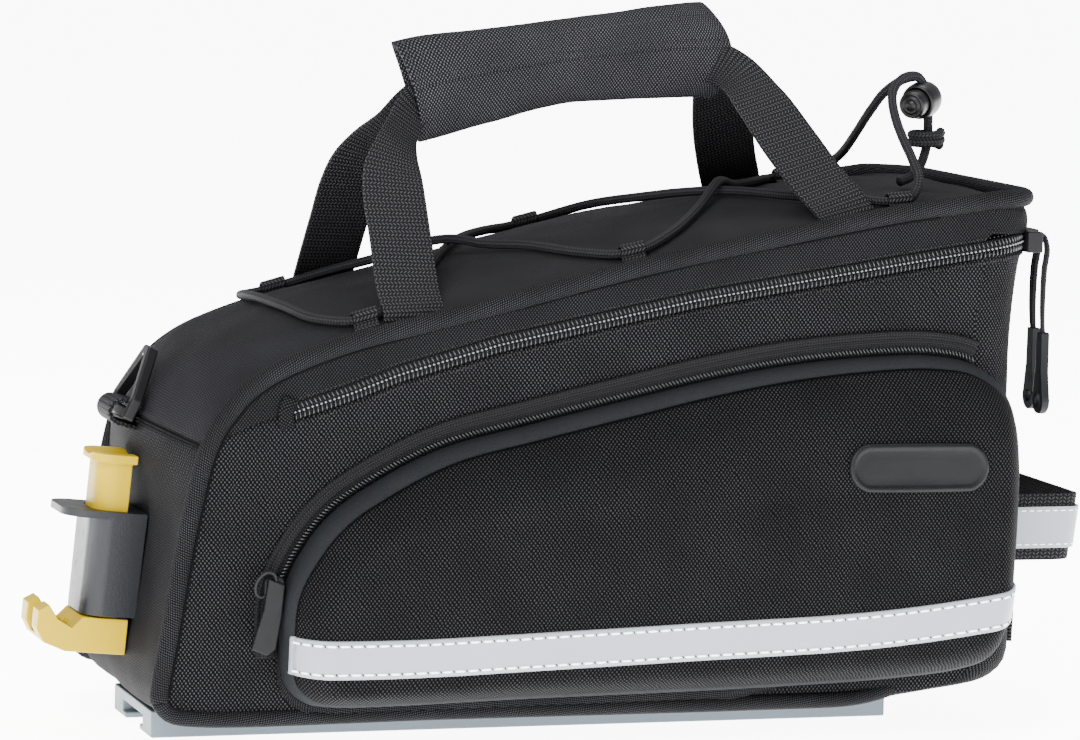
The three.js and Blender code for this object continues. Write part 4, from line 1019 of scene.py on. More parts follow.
def outline_ring():
    """Outline points, over the top from front to rear and back below, paired about the middle line."""
    halves = []
    for start, end in ((3.4, 19), (19, 30.4)):
        run = np.array([(t, *smooth_at(OUTLINE_MM, t, True))
                        for t in np.linspace(start, end, POCKET_STEPS * 5 + 1)])
        length = run_of(run[:, 1:3])
        wanted = np.linspace(0, length[-1], POCKET_STEPS + 1)[:-1]
        halves.append(np.array([np.interp(wanted, length, run[:, c]) for c in range(4)]).T)
    steps = np.arange(POCKET_STEPS)
    share = np.concatenate([steps, POCKET_STEPS - steps]) / POCKET_STEPS
    on_spine = np.clip((share - .16) / .68, 0, 1)[:, None]
    return np.vstack(halves), SPINE_MM[0] * (1 - on_spine) + SPINE_MM[1] * on_spine


def strip_width(t):
    """Width of the smooth strip: wide over the arch, narrow down the front and along the bottom."""
    return float(np.interp(t % 27, STRIP_AT, STRIP_WIDE))


def pocket_grid():
    ring, spine = outline_ring()
    flat, roll = ring[:, 1:3], ring[:, 3] * POCKET_ROLL
    inward = spine - flat
    length = np.linalg.norm(inward, axis=1)
    inward = inward / length[:, None]
    shares = np.linspace(0, 1, 260) ** 2
    height = roll_height(shares) * POCKET_DEPTH
    tables = [np.concatenate([[0], np.cumsum(np.hypot(np.diff(shares) * r, np.diff(height)))]) for r in roll]
    widths = np.array([np.interp(strip_width(t) / r, shares, table)
                       for t, r, table in zip(ring[:, 0], roll, tables)])
    rows, arcs = [], []
    stops = [("strip", k / STRIP_ROWS) for k in range(STRIP_ROWS + 1)]
    stops += [("groove", v) for v in GROOVES]
    stops += [("roll", k / ROLL_ROWS) for k in range(1, ROLL_ROWS + 1)]
    stops += [("past", k / PANEL_ROWS) for k in range(1, PANEL_ROWS + 1)]
    for kind, value in stops:
        row, arc = [], []
        for i in range(len(ring)):
            table = tables[i]
            edge = widths[i] + GROOVES[-1]
            a = {"strip": widths[i] * value, "groove": widths[i] + value,
                 "roll": edge + (table[-1] - edge) * value, "past": table[-1]}[kind]
            share = np.interp(a, table, shares)
            reach = share * roll[i]
            deep = roll_height(share) * POCKET_DEPTH
            if kind == "past":
                a += value * (length[i] - roll[i])
                reach = roll[i] + value * (length[i] - roll[i])
                deep += 1.6 * (1 - (1 - value) ** 2)
            place = flat[i] + inward[i] * reach
            row.append((place[0], -(side_face(place[0]) + deep), place[1]))
            arc.append(a)
        rows.append(row)
        arcs.append(arc)
    return np.array(rows), np.array(arcs), widths, flat, inward, stops


def grid_normals(points):
    across = np.roll(points, -1, axis=1) - np.roll(points, 1, axis=1)
    down = np.gradient(points, axis=0)
    return unit(np.cross(across, down))


def seam_relief(arcs, widths):
    """How far the skin stands out: a rounded strip, a groove at its seam and a soft edge of the panel."""
    share = np.clip(arcs / widths, 0, 1)
    strip = 0.9 * np.sin(np.pi * share) * np.minimum(widths / 7.8, 1.3)
    past = arcs - widths
    groove = -1.2 * np.exp(-((past - .55) / .45) ** 2)
    panel = 0.7 * np.where(past > 1, np.exp(-(past - 1.0) / 9) * np.clip((past - 1) / 1.2, 0, 1), 0)
    return strip + groove + panel


def make_pocket(side, word):
    points, arcs, widths, flat, inward, stops = pocket_grid()
    outward = grid_normals(points)
    if np.mean(outward[10, :, 1]) > 0:
        outward = -outward
    points = points + outward * seam_relief(arcs, widths)[..., None]
    mask = np.clip((arcs - widths - 3) / 20, 0, 1)
    points = uneven(points, outward, mask, 0.55)
    at_roll = flat + inward * (outline_ring()[0][:, 3] * POCKET_ROLL)[:, None]
    on_roll = [kind != "past" for kind, _ in stops]
    uv = points[..., [0, 2]].copy()
    left_of_roll = arcs[on_roll].max(axis=0) - arcs[on_roll]
    uv[on_roll] = at_roll[None] - inward[None] * left_of_roll[..., None]
    points = points * np.array([1, -side, 1])
    uv = np.concatenate([uv, uv[:, :1]], axis=1) * np.array([-side, 1])
    # The two face rows in the seam groove take the near-black cloth: painted shade in the groove.
    pocket = grid_mesh(f"pocket_{word}", [(points, uv)], [pocket_cloth, strip_cloth, painted_seam_shade],
                       weld=0.02, centre=(20, side * 60, 80), close=(False, True),
                       slots=lambda grid, row: 1 if row < STRIP_ROWS else 2 if row < STRIP_ROWS + 2 else 0)
    thicken(pocket, POCKET_WALL)
    return belongs(pocket, replaces=(f"side_pocket_{word}",))


pockets = {side: make_pocket(side, word) for side, word in SIDES}

# %% [markdown]
# ## Reflective bands
# A silver tape is sewn across each pocket. It is laid on the pocket by casting rays at the finished
# skin, so it follows the rolled front edge, and its stitches are the same beads in white thread.


# %% Laying lines on a pocket
def skin_of(obj):
    """A search tree over the outer skin of a piece, in metres."""
    mesh = obj.data
    return BVHTree.FromPolygons([v.co for v in mesh.vertices], [p.vertices for p in mesh.polygons])


def laid(tree, x, z, side, lift):
    """The place on the pocket's face at x and z, lifted off it, in millimetres."""
    start = Vector(to_frame((x, side * 130, z)))
    place, normal, _, _ = tree.ray_cast(start, Vector((0, -side, 0)))
    if place is None:
        return None, None
    if normal.y * side < 0:
        normal = -normal
    spot = place + normal * lift * 0.001
    return np.array(spot) * 1000 - np.array([SHIFT, 0, 0]), np.array(normal)


def laid_line(tree, line, side, lift):
    points, normals = [], []
    for x, z in line:
        point, normal = laid(tree, x, z, side, lift)
        if point is not None:
            points.append(point)
            normals.append(normal)
    points, normals = np.array(points), np.array(normals)
    return points, unit(np.array([normals[max(0, k - 3):k + 4].mean(axis=0) for k in range(len(normals))]))


def band_line(level):
    """Points along the band at a height over its lower edge, closer together at its ends."""
    at = 0.5 - 0.5 * np.cos(np.linspace(0, math.pi, 260))
    xs = BAND_FROM + (BAND_TO - BAND_FROM) * at
    smooth = in_mm(smooth_run(BAND_LINE, 200))
    return np.column_stack([xs, np.interp(xs, smooth[:, 0], smooth[:, 1]) + level])


# %% Bands with their stitches
def make_band(side, word):
    tree = skin_of(pockets[side])
    levels = [0, .5, 2.5, 5, 7.5, 10, 12.5, 14.5, BAND_HEIGHT]
    rows = []
    for level in levels:
        lift = 0.15 if level in (0, BAND_HEIGHT) else 0.75
        rows.append(even_run(laid_line(tree, band_line(level), side, lift)[0], 240))
    points = np.array(rows)
    uv = np.array([[(u, v) for u in run_of(points[4])] for v in levels])
    band = grid_mesh(f"band_{word}", [(points, uv)], silver_tape, centre=(20, side * 40, 50))
    thicken(band, 0.35)
    belongs(band, replaces=(f"reflective_band_{word}",))
    lines, holes = ([laid_line(tree, band_line(level)[BAND_HEM:-BAND_HEM], side, lift)
                     for level in (2.0, 13.0)] for lift in (0.8, 0.72))
    beads(f"band_stitches_{word}", lines, 5.1, (4.6, 1.0, .65), white_thread,
          seed=7, uneven=.03)
    beads(f"band_stitch_holes_{word}", holes, 5.1, (.6, 1.5, .5), thread,
          shift=(2.55, 0, 0), slant=.5, seed=8)


for side, word in SIDES:
    make_band(side, word)

# %% [markdown]
# ## Pocket zippers
# The tape lies on the tub just outside the pocket, between two low ridges, and its coil is one row
# of slanting turns beside the smooth strip.


# %% Tape and coil round the arch
def arch_path(side, offset, lift, start=2.7, end=15.1, count=150):
    """A line beside the pocket's outline, offset outwards and lifted off the tub."""
    rows = smooth_run(OUTLINE_MM, count, True, start, end)[:, :2]
    run = unit(np.gradient(rows, axis=0))
    out = np.column_stack([-run[:, 1], run[:, 0]])
    flat = rows + out * offset
    points = np.array([(x, side * (side_face(x) + lift), z) for x, z in flat])
    across = np.array([(a, 0, b) for a, b in out])
    return points, across, np.broadcast_to(np.array([0.0, side, 0.0]), points.shape)


for side, word in SIDES:
    points, across, outward = arch_path(side, 0, 0.2)
    section = [(.3, -.3), (9.7, -.3), (9.9, .7), (9.2, 1.7), (8.3, 1.2), (6.6, 1.0), (5.8, 1.8), (4.9, 1.3),
               (4.3, .9), (3.7, .5), (.4, .5)]
    pocket_tape = sweep(f"pocket_tape_{word}", points, across, outward, section, tape_cloth)
    belongs(pocket_tape, replaces=(f"pocket_zipper_{word}",))
    points, _, outward = arch_path(side, 2.3, 1.15, 3.3)
    beads(f"pocket_coil_{word}", [(points, outward)], 1.45, (.8, 3.1, 1.5), tooth_plastic,
          slant=-.5 * side, uneven=.05, seed=11)


# %% [markdown]
# A narrow bound edge runs round the pocket's lower front corner and tapers out at both ends.

# %% Binding round the pocket's lower front corner
for side, word in SIDES:
    points, across, outward = arch_path(side, 0, 0.2, 24.6, 30.0, 80)
    section = [(-.6, -.3), (6.4, -.3), (6.6, .5), (5.9, 1.5), (4.6, 1.1), (3.9, 1.7), (1.2, 1.9), (-.2, 1.5)]
    at = np.linspace(0, 1, len(points))
    narrowed = np.clip(np.minimum(at, 1 - at) * 6, .08, 1)
    binding = sweep(f"pocket_binding_{word}", points, across, outward, section, bias_cloth, widths=narrowed)
    belongs(binding)

# %% [markdown]
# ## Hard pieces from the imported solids
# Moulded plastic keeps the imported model's shape. A copy of each solid is merged, its flat faces are
# joined again, and a bevel rounds its edges, which is what catches the light on real plastic.


# %% Rounded copies
def refined(node, name, material, body="bag", bevel=0.6):
    bm = bmesh.new()
    bm.from_mesh(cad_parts[node].data)
    bmesh.ops.remove_doubles(bm, verts=bm.verts, dist=1e-5)
    bmesh.ops.dissolve_limit(bm, angle_limit=math.radians(2), verts=bm.verts, edges=bm.edges)
    obj = mesh_object(name, bm, material)
    obj.data.set_sharp_from_angle(angle=math.radians(40))
    edge = obj.modifiers.new("rounded_edges", "BEVEL")
    edge.width = bevel * 0.001
    edge.segments = 3
    edge.limit_method = "ANGLE"
    edge.angle_limit = math.radians(28)
    edge.harden_normals = True
    return belongs(obj, body, replaces=(node,))


refined("track_rail", "slide_rail", grey_plastic, bevel=0.7)
refined("latch_housing", "latch_block", blue_black_plastic, bevel=0.8)
refined("release_latch", "release_button", yellow_plastic, "latch_button", 1.1)
refined("front_ring", "strap_ring", black_plastic, bevel=1.2)
for word in ("near", "far"):
    refined(f"pocket_slider_{word}", f"slider_body_{word}", dark_metal, bevel=.9)
    refined(f"pocket_pull_{word}", f"pull_tab_{word}", rubber, bevel=.7)
for number in (1, 2):
    refined(f"main_slider_{number}", f"slider_rear_{number}", dark_metal, bevel=1.3)
    refined(f"puller_{number}", f"puller_tab_{number}", rubber, bevel=1.1)


# %% Slider rings
for side, word in SIDES:
    axis_a, axis_b = unit(np.array([.35, side * .3, 1])), unit(np.array([1, 0, -.3]))
    path = np.array([np.array([-138.6, side * 82.4, 67.5]) + axis_a * 5.4 * math.cos(t)
                     + axis_b * 3.6 * math.sin(t) for t in np.linspace(0, 2 * math.pi, 37)[:-1]])
    run = unit(np.roll(path, -1, axis=0) - np.roll(path, 1, axis=0))
    normal = np.broadcast_to(unit(np.cross(axis_a, axis_b)), path.shape)
    wire = sweep(f"slider_ring_{word}", path, unit(np.cross(run, normal)), normal,
                 round_section(.75, 8), dark_metal, closed_path=True)
    belongs(wire)

# %% [markdown]
# ## Handle
# Two straps of flat webbing rise from the lid's edges and pass through the grip, a padded wrap of
# the bag's cloth whose flap closes on the near side. The strap is a flat section carried along its
# route, narrower where it folds into the grip.

# %% Strap and grip tables
STRAP_ROUTE = np.array([
    (.280, -.922, .740, 1, 0), (.280, -.922, .775, 1, 0), (.279, -.800, .823, 1, 0),
    (.281, -.600, .916, 1, 0), (.283, -.433, .993, 1, .1), (.287, -.333, 1.039, .92, .3),
    (.296, -.240, 1.078, .72, .6), (.310, -.120, 1.112, .6, .8), (.334, -.030, 1.160, .65, 1),
    (.390, -.030, 1.200, .8, 1), (.500, -.030, 1.243, .85, 1), (.600, -.030, 1.262, .8, 1),
    (.664, -.030, 1.256, .7, 1), (.697, -.160, 1.228, .72, .7), (.715, -.340, 1.175, .9, .3),
    (.734, -.520, 1.105, 1, .1), (.756, -.720, 1.030, 1, 0), (.772, -.860, .985, 1, 0),
    (.778, -.920, .956, 1, 0), (.780, -.922, .920, 1, 0)])
GRIP_RINGS = np.array([
    (.320, 1.180, 1, -6, 2), (.350, 1.193, 1, -4, 1), (.415, 1.216, .93, -1, 0), (.500, 1.243, .86, 0, 0),
    (.585, 1.260, .90, 0, 0), (.645, 1.268, .97, -1, 2), (.672, 1.270, .98, -3, 9)])
GRIP_HEIGHT, GRIP_THICK, GRIP_WALL = 40, 13, 2.6


# %% Straps
for side, word in SIDES:
    rows = STRAP_ROUTE * np.array([1, HALF, 1, 1, 1])
    rows[:, 0], rows[:, 2] = along_x(rows[:, 0]), up_z(rows[:, 2])
    fine = np.array([smooth_at(rows, t) for t in np.linspace(0, len(rows) - 1, 228)])
    points, widths, face = fine[:, :3], fine[:, 3], fine[:, 4:5]
    front = np.hstack([np.zeros_like(face), -0.79 - 0.21 * face, 0.61 * (1 - face)])
    run = unit(np.gradient(points, axis=0))
    across = unit(np.cross(unit(front), run))
    flip = np.array([1, -side, 1])
    strap = sweep(f"strap_{word}", points * flip, across * flip, np.cross(run, across) * flip,
                  flat_section(WEBBING_WIDTH, WEBBING_THICK, .7, along=12), strap_webbing, widths)
    belongs(strap, replaces=(f"handle_strap_{word}",))


# %% Grip
def grip_point(row, angle, lift=0.0):
    """A place on the grip's skin. Its near face carries the flap, a little proud of the rest."""
    along, up_share, tall, slant, swell = row
    level = math.copysign(abs(math.sin(angle)) ** 0.8, math.sin(angle))
    across = math.copysign(abs(math.cos(angle)) ** 0.6, math.cos(angle))
    flap = 0.9 if across < -0.2 and level > 0.08 else 0.0
    shift = slant * level + swell * (1 - level * level)
    return (along_x(along) + shift, across * (GRIP_THICK / 2 + lift) - flap,
            up_z(up_share) + level * (GRIP_HEIGHT / 2 * tall + lift))


def make_grip():
    angles = np.concatenate([np.linspace(0, math.pi, 42), [math.pi + .001],
                             np.linspace(math.pi, 2 * math.pi, 42)[1:-1]])
    flap_angle = math.pi - math.asin(0.08 ** 1.25)
    angles = np.sort(np.append(angles, [flap_angle - .004, flap_angle + .004]))
    rows = [smooth_at(GRIP_RINGS, t) for t in np.linspace(0, len(GRIP_RINGS) - 1, 110)]
    points = np.array([[grip_point(row, angle) for angle in angles] for row in rows])
    outward = unit((points - points.mean(axis=1, keepdims=True)) * np.array([0, 1, 1]))
    points = uneven(points, outward, np.ones(points.shape[:2]), 0.9)
    girth = run_of(points[50])
    uv = np.array([[(row[0][0], g) for g in [*girth, girth[-1] + .5]] for row in points])
    grip = grid_mesh("grip_wrap", [(points, uv)], grip_cloth, weld=.005, centre=(0, 0, 262),
                     close=(False, True))
    thicken(grip, GRIP_WALL)
    return belongs(grip, replaces=("handle_grip",)), rows


grip, grip_rows = make_grip()


# %% Grip stitches
def grip_stitch_line(places):
    return np.array(places), np.broadcast_to(np.array([0, -1.0, .2]), (len(places), 3))


seams = [grip_stitch_line([grip_point(row, math.pi - under, .15) for row in grip_rows[3:-3]])
         for under in (.72, .16)]
for row in (grip_rows[4], grip_rows[-5]):
    round_end = [grip_point(row, a, .15) for a in np.linspace(math.pi - 1.2, math.pi + 1.2, 30)]
    seams.append((np.array(round_end), np.broadcast_to(np.array([0, -1.0, 0]), (30, 3))))
beads("grip_stitches", seams, 3.2, (2.5, .55, .45), thread, uneven=.04, seed=21)

# %% [markdown]
# ## Elastic cord
# One elastic cord is laced through six webbing loops, crosses itself twice and rises at the rear
# into its lock. Its height over the lid is read from the lid itself, so it lies on the cloth.

# %% Cord tables
LACING = np.array([
    (133, 57, 1.6), (126.5, 64.8, .9), (120.3, 65.5, .8), (114.2, 65.4, .7), (107.5, 55, .6), (99, 44, .7),
    (84, 26, 1.2), (74, 10, 3.8), (66, -5, 5.2), (56, -22, 2.8), (44, -40, .8), (28, -58, .8),
    (15.8, -65, .8),
    (10, -65.5, .8), (4.2, -65, .8), (-8, -55, .8), (-22, -34, .8), (-34, -13, 1.8), (-42, 1, 4.6),
    (-50, 15, 4.6), (-62, 34, 1), (-80, 56, .8), (-94.5, 65, .8), (-100, 65.5, .8), (-105.5, 65, .8),
    (-116, 53, 1), (-120, 30, 1), (-121, 0, 1), (-119, -30, 1), (-114, -53, 1), (-103, -65, .8),
    (-97.5, -65.5, .8), (-92, -65, .8), (-78, -53, .8), (-64, -32, .8), (-52, -10, .8), (-44, 5, .8),
    (-34, 23, .8), (-16, 50, .8), (1.5, 65, .8), (7.1, 65.5, .8), (12.7, 65, .8), (30, 51, .8), (46, 29, .8),
    (60, 8, .8), (72, -10, .8), (90, -34, .8), (105, -53, .8), (115.4, -64.9, .8), (121, -65.5, .8)])
RISING_FAR = np.array([
    (148.3, -20, 255.4), (146.5, -18.6, 259.6), (141.5, -15.5, 258.6), (136, -10, 253.5), (133.5, 0, 245),
    (133, 14, 235), (134, 32, 225.5), (134, 48, 219.5)])
RISING_NEAR = np.array([
    (126.6, -65.2, 214.4), (130.5, -62.5, 221), (130, -56, 229), (129, -48, 236.5), (129, -38, 245.5),
    (130.5, -31, 253), (134, -27, 257.5), (138.5, -25.4, 260.2), (144.2, -23.6, 260.2),
    (148.2, -21.9, 256.0)])
LOOP_PLACES = {"front_near": (.226, -1), "middle_near": (.528, -1), "rear_near": (.840, -1),
               "front_far": (.219, 1), "middle_far": (.520, 1), "rear_far": (.841, 1)}
lid_tree = skin_of(lid)


def lid_top(x, y):
    start = Vector(to_frame((x, y, 300)))
    place, _, _, _ = lid_tree.ray_cast(start, Vector((0, 0, -1)))
    return place.z * 1000 if place is not None else up_z(1)


# %% Cord
def cord_route():
    flat = np.array([(x, y, lid_top(x, y) + CORD_RADIUS + lift * .8) for x, y, lift in LACING])
    points = np.vstack([RISING_FAR, flat, RISING_NEAR])
    fine = np.array([smooth_at(points, t) for t in np.linspace(0, len(points) - 1, 2400)])
    return even_run(fine, 620)


cord_path = cord_route()
cord = tube("laced_cord", cord_path, CORD_RADIUS, 12, cord_braid)
belongs(cord, replaces=("elastic_cord",))


# %% Cord loops
def cord_loop(name, along, side):
    x, y = along_x(along), side * (HALF - 9.5)
    slope = (lid_top(x + 5, y) - lid_top(x - 5, y)) / 10
    base = lid_top(x, y)
    turns = np.radians(np.linspace(-20, 200, 24))
    arch = [(y + side * 6.4, base - 1.2)] + [
        (y + side * 3.1 * math.cos(a), base + CORD_RADIUS + .6 + 3.1 * math.sin(a)) for a in turns]
    arch.append((y - side * 6.6, base + .1))
    path = smooth_run(np.array([(x, *p) for p in arch]), 40)
    along_dir = unit(np.array([1, 0, slope]))
    across = np.broadcast_to(along_dir, path.shape)
    outward = unit(np.cross(across, unit(np.gradient(path, axis=0))))
    if np.sum(outward[:, 2]) < 0:
        outward = -outward
    loop = sweep(f"webbing_loop_{name}", path, across, outward, flat_section(10, 1.1, .4), strap_webbing)
    return belongs(loop, replaces=(f"cord_loop_{name}",))


for name, (along, side) in LOOP_PLACES.items():
    cord_loop(name, along, side)


# %% Knot and tails
KNOT, KNOT_HALF_LENGTH, KNOT_HALF_DEPTH, KNOT_HEIGHT = np.array([148.4, -24.4, 235.2]), 6.0, 4.8, 5.6
TAIL = np.array([(150.2, -21.2, 246.5), (149.5, -23.2, 236), (148, -25, 230), (145, -27, 224),
                 (140, -30, 220), (134, -33, 218.2)])
turns = np.linspace(0, 4 * math.pi, 90)
wraps = np.column_stack([KNOT[0] + KNOT_HALF_LENGTH * np.cos(turns),
                         KNOT[1] + KNOT_HALF_DEPTH * np.sin(turns),
                         KNOT[2] + KNOT_HEIGHT * (turns / turns[-1] - .5) + .7 * np.sin(turns)])
knot = tube("cord_knot", wraps, CORD_RADIUS, 10, cord_braid)
tail_a = tube("cord_tail_a", smooth_run(TAIL, 60), CORD_RADIUS, 10, cord_braid)
tail_b = tube("cord_tail_b", smooth_run(TAIL + np.array([1.2, 3, 0]), 60), CORD_RADIUS, 10, cord_braid)
belongs(knot, replaces=("cord_tails",))
belongs(tail_a)
belongs(tail_b)


# %% Cord lock
LOCK_PLACE = np.array([147.5, -21.5, 250.8])
LOCK_AXIS = unit(np.array([-.70, -.69, -.18]))


def lathe(name, profile, body, replaces):
    """Turns a profile of (radius, height) round the lock's axis."""
    side_a = unit(np.cross(LOCK_AXIS, (0, 0, 1)))
    side_b = np.cross(LOCK_AXIS, side_a)
    spokes = [side_a * math.cos(t) + side_b * math.sin(t)
              for t in np.linspace(0, 2 * math.pi, 40, endpoint=False)]
    points = np.array([[LOCK_PLACE + LOCK_AXIS * h + spoke * max(r, 0) for spoke in spokes]
                       for r, h in profile])
    uv = np.array([[(k, h) for k in range(41)] for _, h in profile], float)
    turned = grid_mesh(name, [(points, uv)], black_plastic, weld=.002, centre=LOCK_PLACE,
                       close=(False, True))
    belongs(turned, body, replaces=(replaces,))


BUTTON_LOW = 5.25
barrel = np.array([(0, -6.2), (3.6, -6.1), (6.4, -4.6), (7.4, -1.4), (7.4, 2.6), (7.1, 4.9), (6.6, 5.9),
                   (6.1, 6.1), (6.02, 5.2), (6.0, 1.3), (0, 1.25)])
button = np.array([(0, 0), (5.55, 0), (5.6, .4), (5.6, 5.2), (5.35, 6.1), (4.9, 6.6), (4.3, 6.75),
                   (4.1, 6.45), (3.8, 6.45), (3.6, 6.95), (2.7, 7.3), (2.4, 7.05), (2.1, 7.05),
                   (1.9, 7.45), (1, 7.7), (0, 7.75)]) + np.array([0, BUTTON_LOW])
lathe("lock_barrel", smooth_run(barrel, 60), "bag", "cord_lock_body")
lathe("lock_knob", button, "lock_button", "cord_lock_button")

# %% [markdown]
# ## Front webbing, light loop and rear pulls
# A short webbing loop holds the plastic ring over the latch. At the rear a flat webbing band stands
# out as the place for a light, with a silver strip sewn round it.

# %% Ring webbing
RING_BASE = np.array([along_x(.003), 1, up_z(.560)])
toward = unit(np.array([-.96, 0, .28]))
above = unit(np.cross(np.array([0, -1.0, 0]), toward))
RING_BAR, SECTION_SHARE = 4.6, .72
round_bar = RING_BAR * SECTION_SHARE + SEAT + WEBBING_THICK / 2
profile = [(-15, round_bar), (-7, round_bar), (2.3, round_bar)]
profile += [(2.3 + round_bar * math.sin(a), round_bar * math.cos(a))
            for a in np.radians(np.linspace(20, 160, 9))]
profile += [(2.3, -round_bar), (-7, -round_bar), (-15, -round_bar)]
path = smooth_run(np.array([RING_BASE + toward * a + above * b for a, b in profile]), 60)
across = np.broadcast_to(np.array([0, 1.0, 0]), path.shape)
outward = unit(np.cross(unit(np.gradient(path, axis=0)), across))
section = flat_section(21.5, WEBBING_THICK, .6)
belongs(sweep("ring_webbing", path, across, outward, section, strap_webbing),
        replaces=("front_ring_webbing",))


# %% Light loop
def loop_band(name, outset, low, high, thick, material, node):
    """A band of webbing or tape between two heights, round the loop and leaning back with it."""
    outset = outset - thick / 2
    half, first = LOOP_SPAN / 2 + outset, LENGTH / 2 - 2.5
    far = LENGTH / 2 + LOOP_REACH + outset
    path = [(first + (far - LOOP_CORNER - first) * k / 14, -half, 0) for k in range(14)]
    path += [(far - LOOP_CORNER * (1 - math.sin(a)), -half + LOOP_CORNER * (1 - math.cos(a)), 0)
             for a in np.radians(np.linspace(0, 90, 9))]
    path += [(far, y, 0) for y in np.linspace(-half + LOOP_CORNER, 0, 12)[1:]]
    path = with_far_half(np.array(path))
    outward = unit(np.cross(unit(np.gradient(path, axis=0)), (0, 0, 1)))
    rise = np.broadcast_to(np.array([LOOP_TILT, 0, 1.0]), path.shape)
    middle_z = (low + high) / 2
    path = path + np.array([LOOP_TILT * (middle_z - LOOP_MIDDLE), 0, middle_z])
    section = flat_section(high - low, thick, min(.45, thick / 2.2))
    belongs(sweep(name, path, rise, outward, section, material), replaces=(node,))
    return path, outward


loop_band("light_band", 0, 65.4, 92.4, 2, strap_webbing, "light_loop")
silver_path, silver_out = loop_band("light_band_silver", SEAT + .7, 70.4, 87.4, .7, silver_tape,
                                    "light_loop_reflector")
lift = np.array([LOOP_TILT, 0, 1.0])
seams = [(silver_path + silver_out * .4 + lift * level, silver_out) for level in (-6.9, 6.9)]
beads("light_band_stitches", seams, 3.4, (2.7, .5, .45), white_thread, seed=31)


# %% Rear patch
tub_tree = skin_of(tub)


def rear_skin(y, z, lift):
    place, normal, _, _ = tub_tree.ray_cast(Vector(to_frame((260, y, z))), Vector((-1, 0, 0)))
    return np.array(place) * 1000 - np.array([SHIFT, 0, 0]) + np.array([lift, 0, 0])


ys, zs = np.linspace(-60, 60, 61), np.linspace(34.3, 58.3, 13)
points = np.array([[rear_skin(y, z, 2.2) for y in ys] for z in zs])
uv = np.array([[(y, z) for y in ys] for z in zs])
patch = grid_mesh("rear_patch_webbing", [(points, uv)], strap_webbing, centre=(0, 0, 46))
thicken(patch, 1.9)
belongs(patch, replaces=("rear_patch",))


# %% Rear pull cords
def pull_path(number):
    low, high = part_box(f"pull_cord_{number}")
    x = (low[0] + high[0]) * 500 - SHIFT - .3
    y = (low[1] + high[1]) * 500
    top, bottom = high[2] * 1000 - 1, low[2] * 1000 - 4
    swing = -1 if number == 1 else 1
    points = [(x - 1.4, y - swing * 1.2, top - 3), (x - .2, y - swing * .8, top),
              (x + 1.2, y, top - 5), (x + .2, y + swing * .3, top - 14),
              (x, y + swing * .8, bottom + 12), (x + .8, y + swing * 1.2, bottom)]
    back = [(px - .4, py + swing * 2.3 * math.sin(math.pi * k / 5), pz)
            for k, (px, py, pz) in enumerate(points)]
    return np.array(points), np.array(back)


for number in (1, 2):
    for word, path in zip(("a", "b"), pull_path(number)):
        piece = tube(f"pull_loop_{number}{word}", smooth_run(path, 50), 1.0, 8, cord_braid)
        belongs(piece, replaces=(f"pull_cord_{number}",) if word == "a" else ())


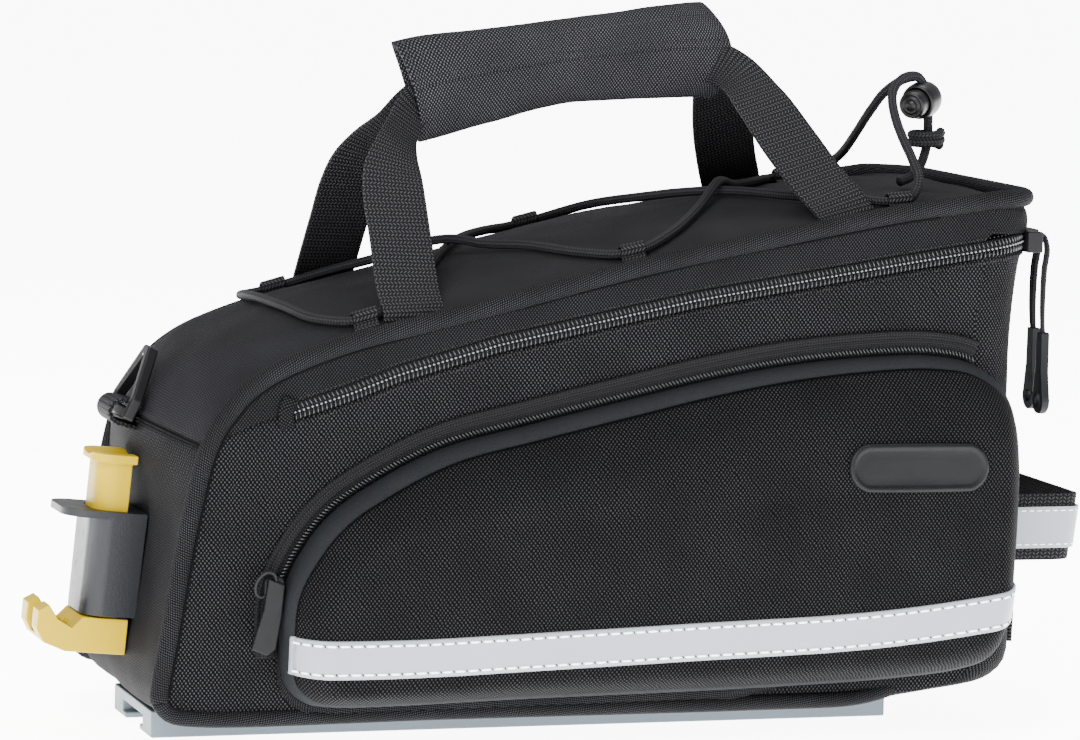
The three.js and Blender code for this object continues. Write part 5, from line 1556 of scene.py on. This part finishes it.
# %% Badge patch
def make_badge(side, word):
    """A plain rubber pill with a raised rim, sewn to the pocket."""
    middle = np.array([along_x(.838), up_z(.492)])
    tree = skin_of(pockets[side])
    rings = []
    for grow, lift in ((0, -.6), (0, .9), (-.5, 1.5), (-1.3, 1.7), (-2.0, 1.5), (-2.5, 1.0),
                       (-3.2, .85), (-6, .9)):
        half_w, half_h = BADGE_HALF_WIDTH + grow, BADGE_HALF_HEIGHT + grow
        ring = []
        for a in np.linspace(0, 2 * math.pi, 96, endpoint=False):
            c, s = math.cos(a), math.sin(a)
            straight = math.copysign(half_w - half_h, c) * min(1, abs(c) * 6)
            point, _ = laid(tree, middle[0] + (straight + half_h * c), middle[1] + half_h * s, side, 0)
            ring.append(point + np.array([0, side * lift, 0]))
        rings.append(ring)
    core = np.array(rings[-1])
    mirrored = -np.arange(len(core)) % len(core)
    for share in (.6, .25, 0):
        line = core.copy()
        line[:, 2] = middle[1] + (core[:, 2] - middle[1]) * share
        line[:, 1] = core[:, 1] * (0.5 + share / 2) + core[mirrored, 1] * (0.5 - share / 2)
        rings.append(line)
    points = np.array(rings)
    uv = points[..., [0, 2]]
    uv = np.concatenate([uv, uv[:, :1]], axis=1)
    badge = grid_mesh(f"badge_pill_{word}", [(points, uv)], rubber, weld=.004,
                      centre=(60, side * 60, 110), close=(False, True))
    belongs(badge, replaces=(f"badge_{word}",))


for side, word in SIDES:
    make_badge(side, word)

# %% [markdown]
# ## Lights and floor
# The floor is one wide pale sheet that reaches past the frame from every side, so no wall hides the
# rear. The light is a large soft one from the upper left, weaker ones and the white room around.


# %% Stage
def area_light(name, place, target, size, power):
    data = bpy.data.lights.new(name, "AREA")
    data.shape = "RECTANGLE"
    data.size, data.size_y = size
    data.energy = power
    light = bpy.data.objects.new(name, data)
    aim = (Vector(target) - Vector(place)).normalized()
    light.matrix_world = Matrix.Translation(place) @ aim.to_track_quat("-Z", "Y").to_matrix().to_4x4()
    bpy.context.collection.objects.link(light)


FLOOR_REACH, FLOOR_DROP, FLOOR_GLOW = 40, -0.0002, 9.0
bm = bmesh.new()
bm.faces.new([bm.verts.new((x * FLOOR_REACH, y * FLOOR_REACH, FLOOR_DROP))
              for x, y in ((-1, -1), (1, -1), (1, 1), (-1, 1))])
pale = moulded("pale_floor", (.95, .95, .95), .8, 60, .00001, dust=.1)
glow = pale.node_tree.nodes["Principled BSDF"].inputs
glow["Emission Color"].default_value = (1, 1, 1, 1)
glow["Emission Strength"].default_value = FLOOR_GLOW
mesh_object("floor", bm, pale)
area_light("key_light", (-1.3, -1.6, 1.7), (0, 0, 0.12), (1.4, 1.0), 150)
area_light("fill_light", (1.5, -1.5, 0.8), (0, 0, 0.1), (1.2, 1.2), 16)
area_light("top_light", (0.1, 0.3, 1.9), (0, 0, 0.1), (1.6, 1.2), 62)
area_light("low_front_light", (-0.3, -1.9, 0.12), (0, 0, 0.06), (1.8, 0.3), 14)
world = bpy.context.scene.world or bpy.data.worlds.new("room")
bpy.context.scene.world = world
world.use_nodes = True
room = world.node_tree.nodes["Background"].inputs
room[0].default_value, room[1].default_value = (1, 1, 1, 1), 0.9
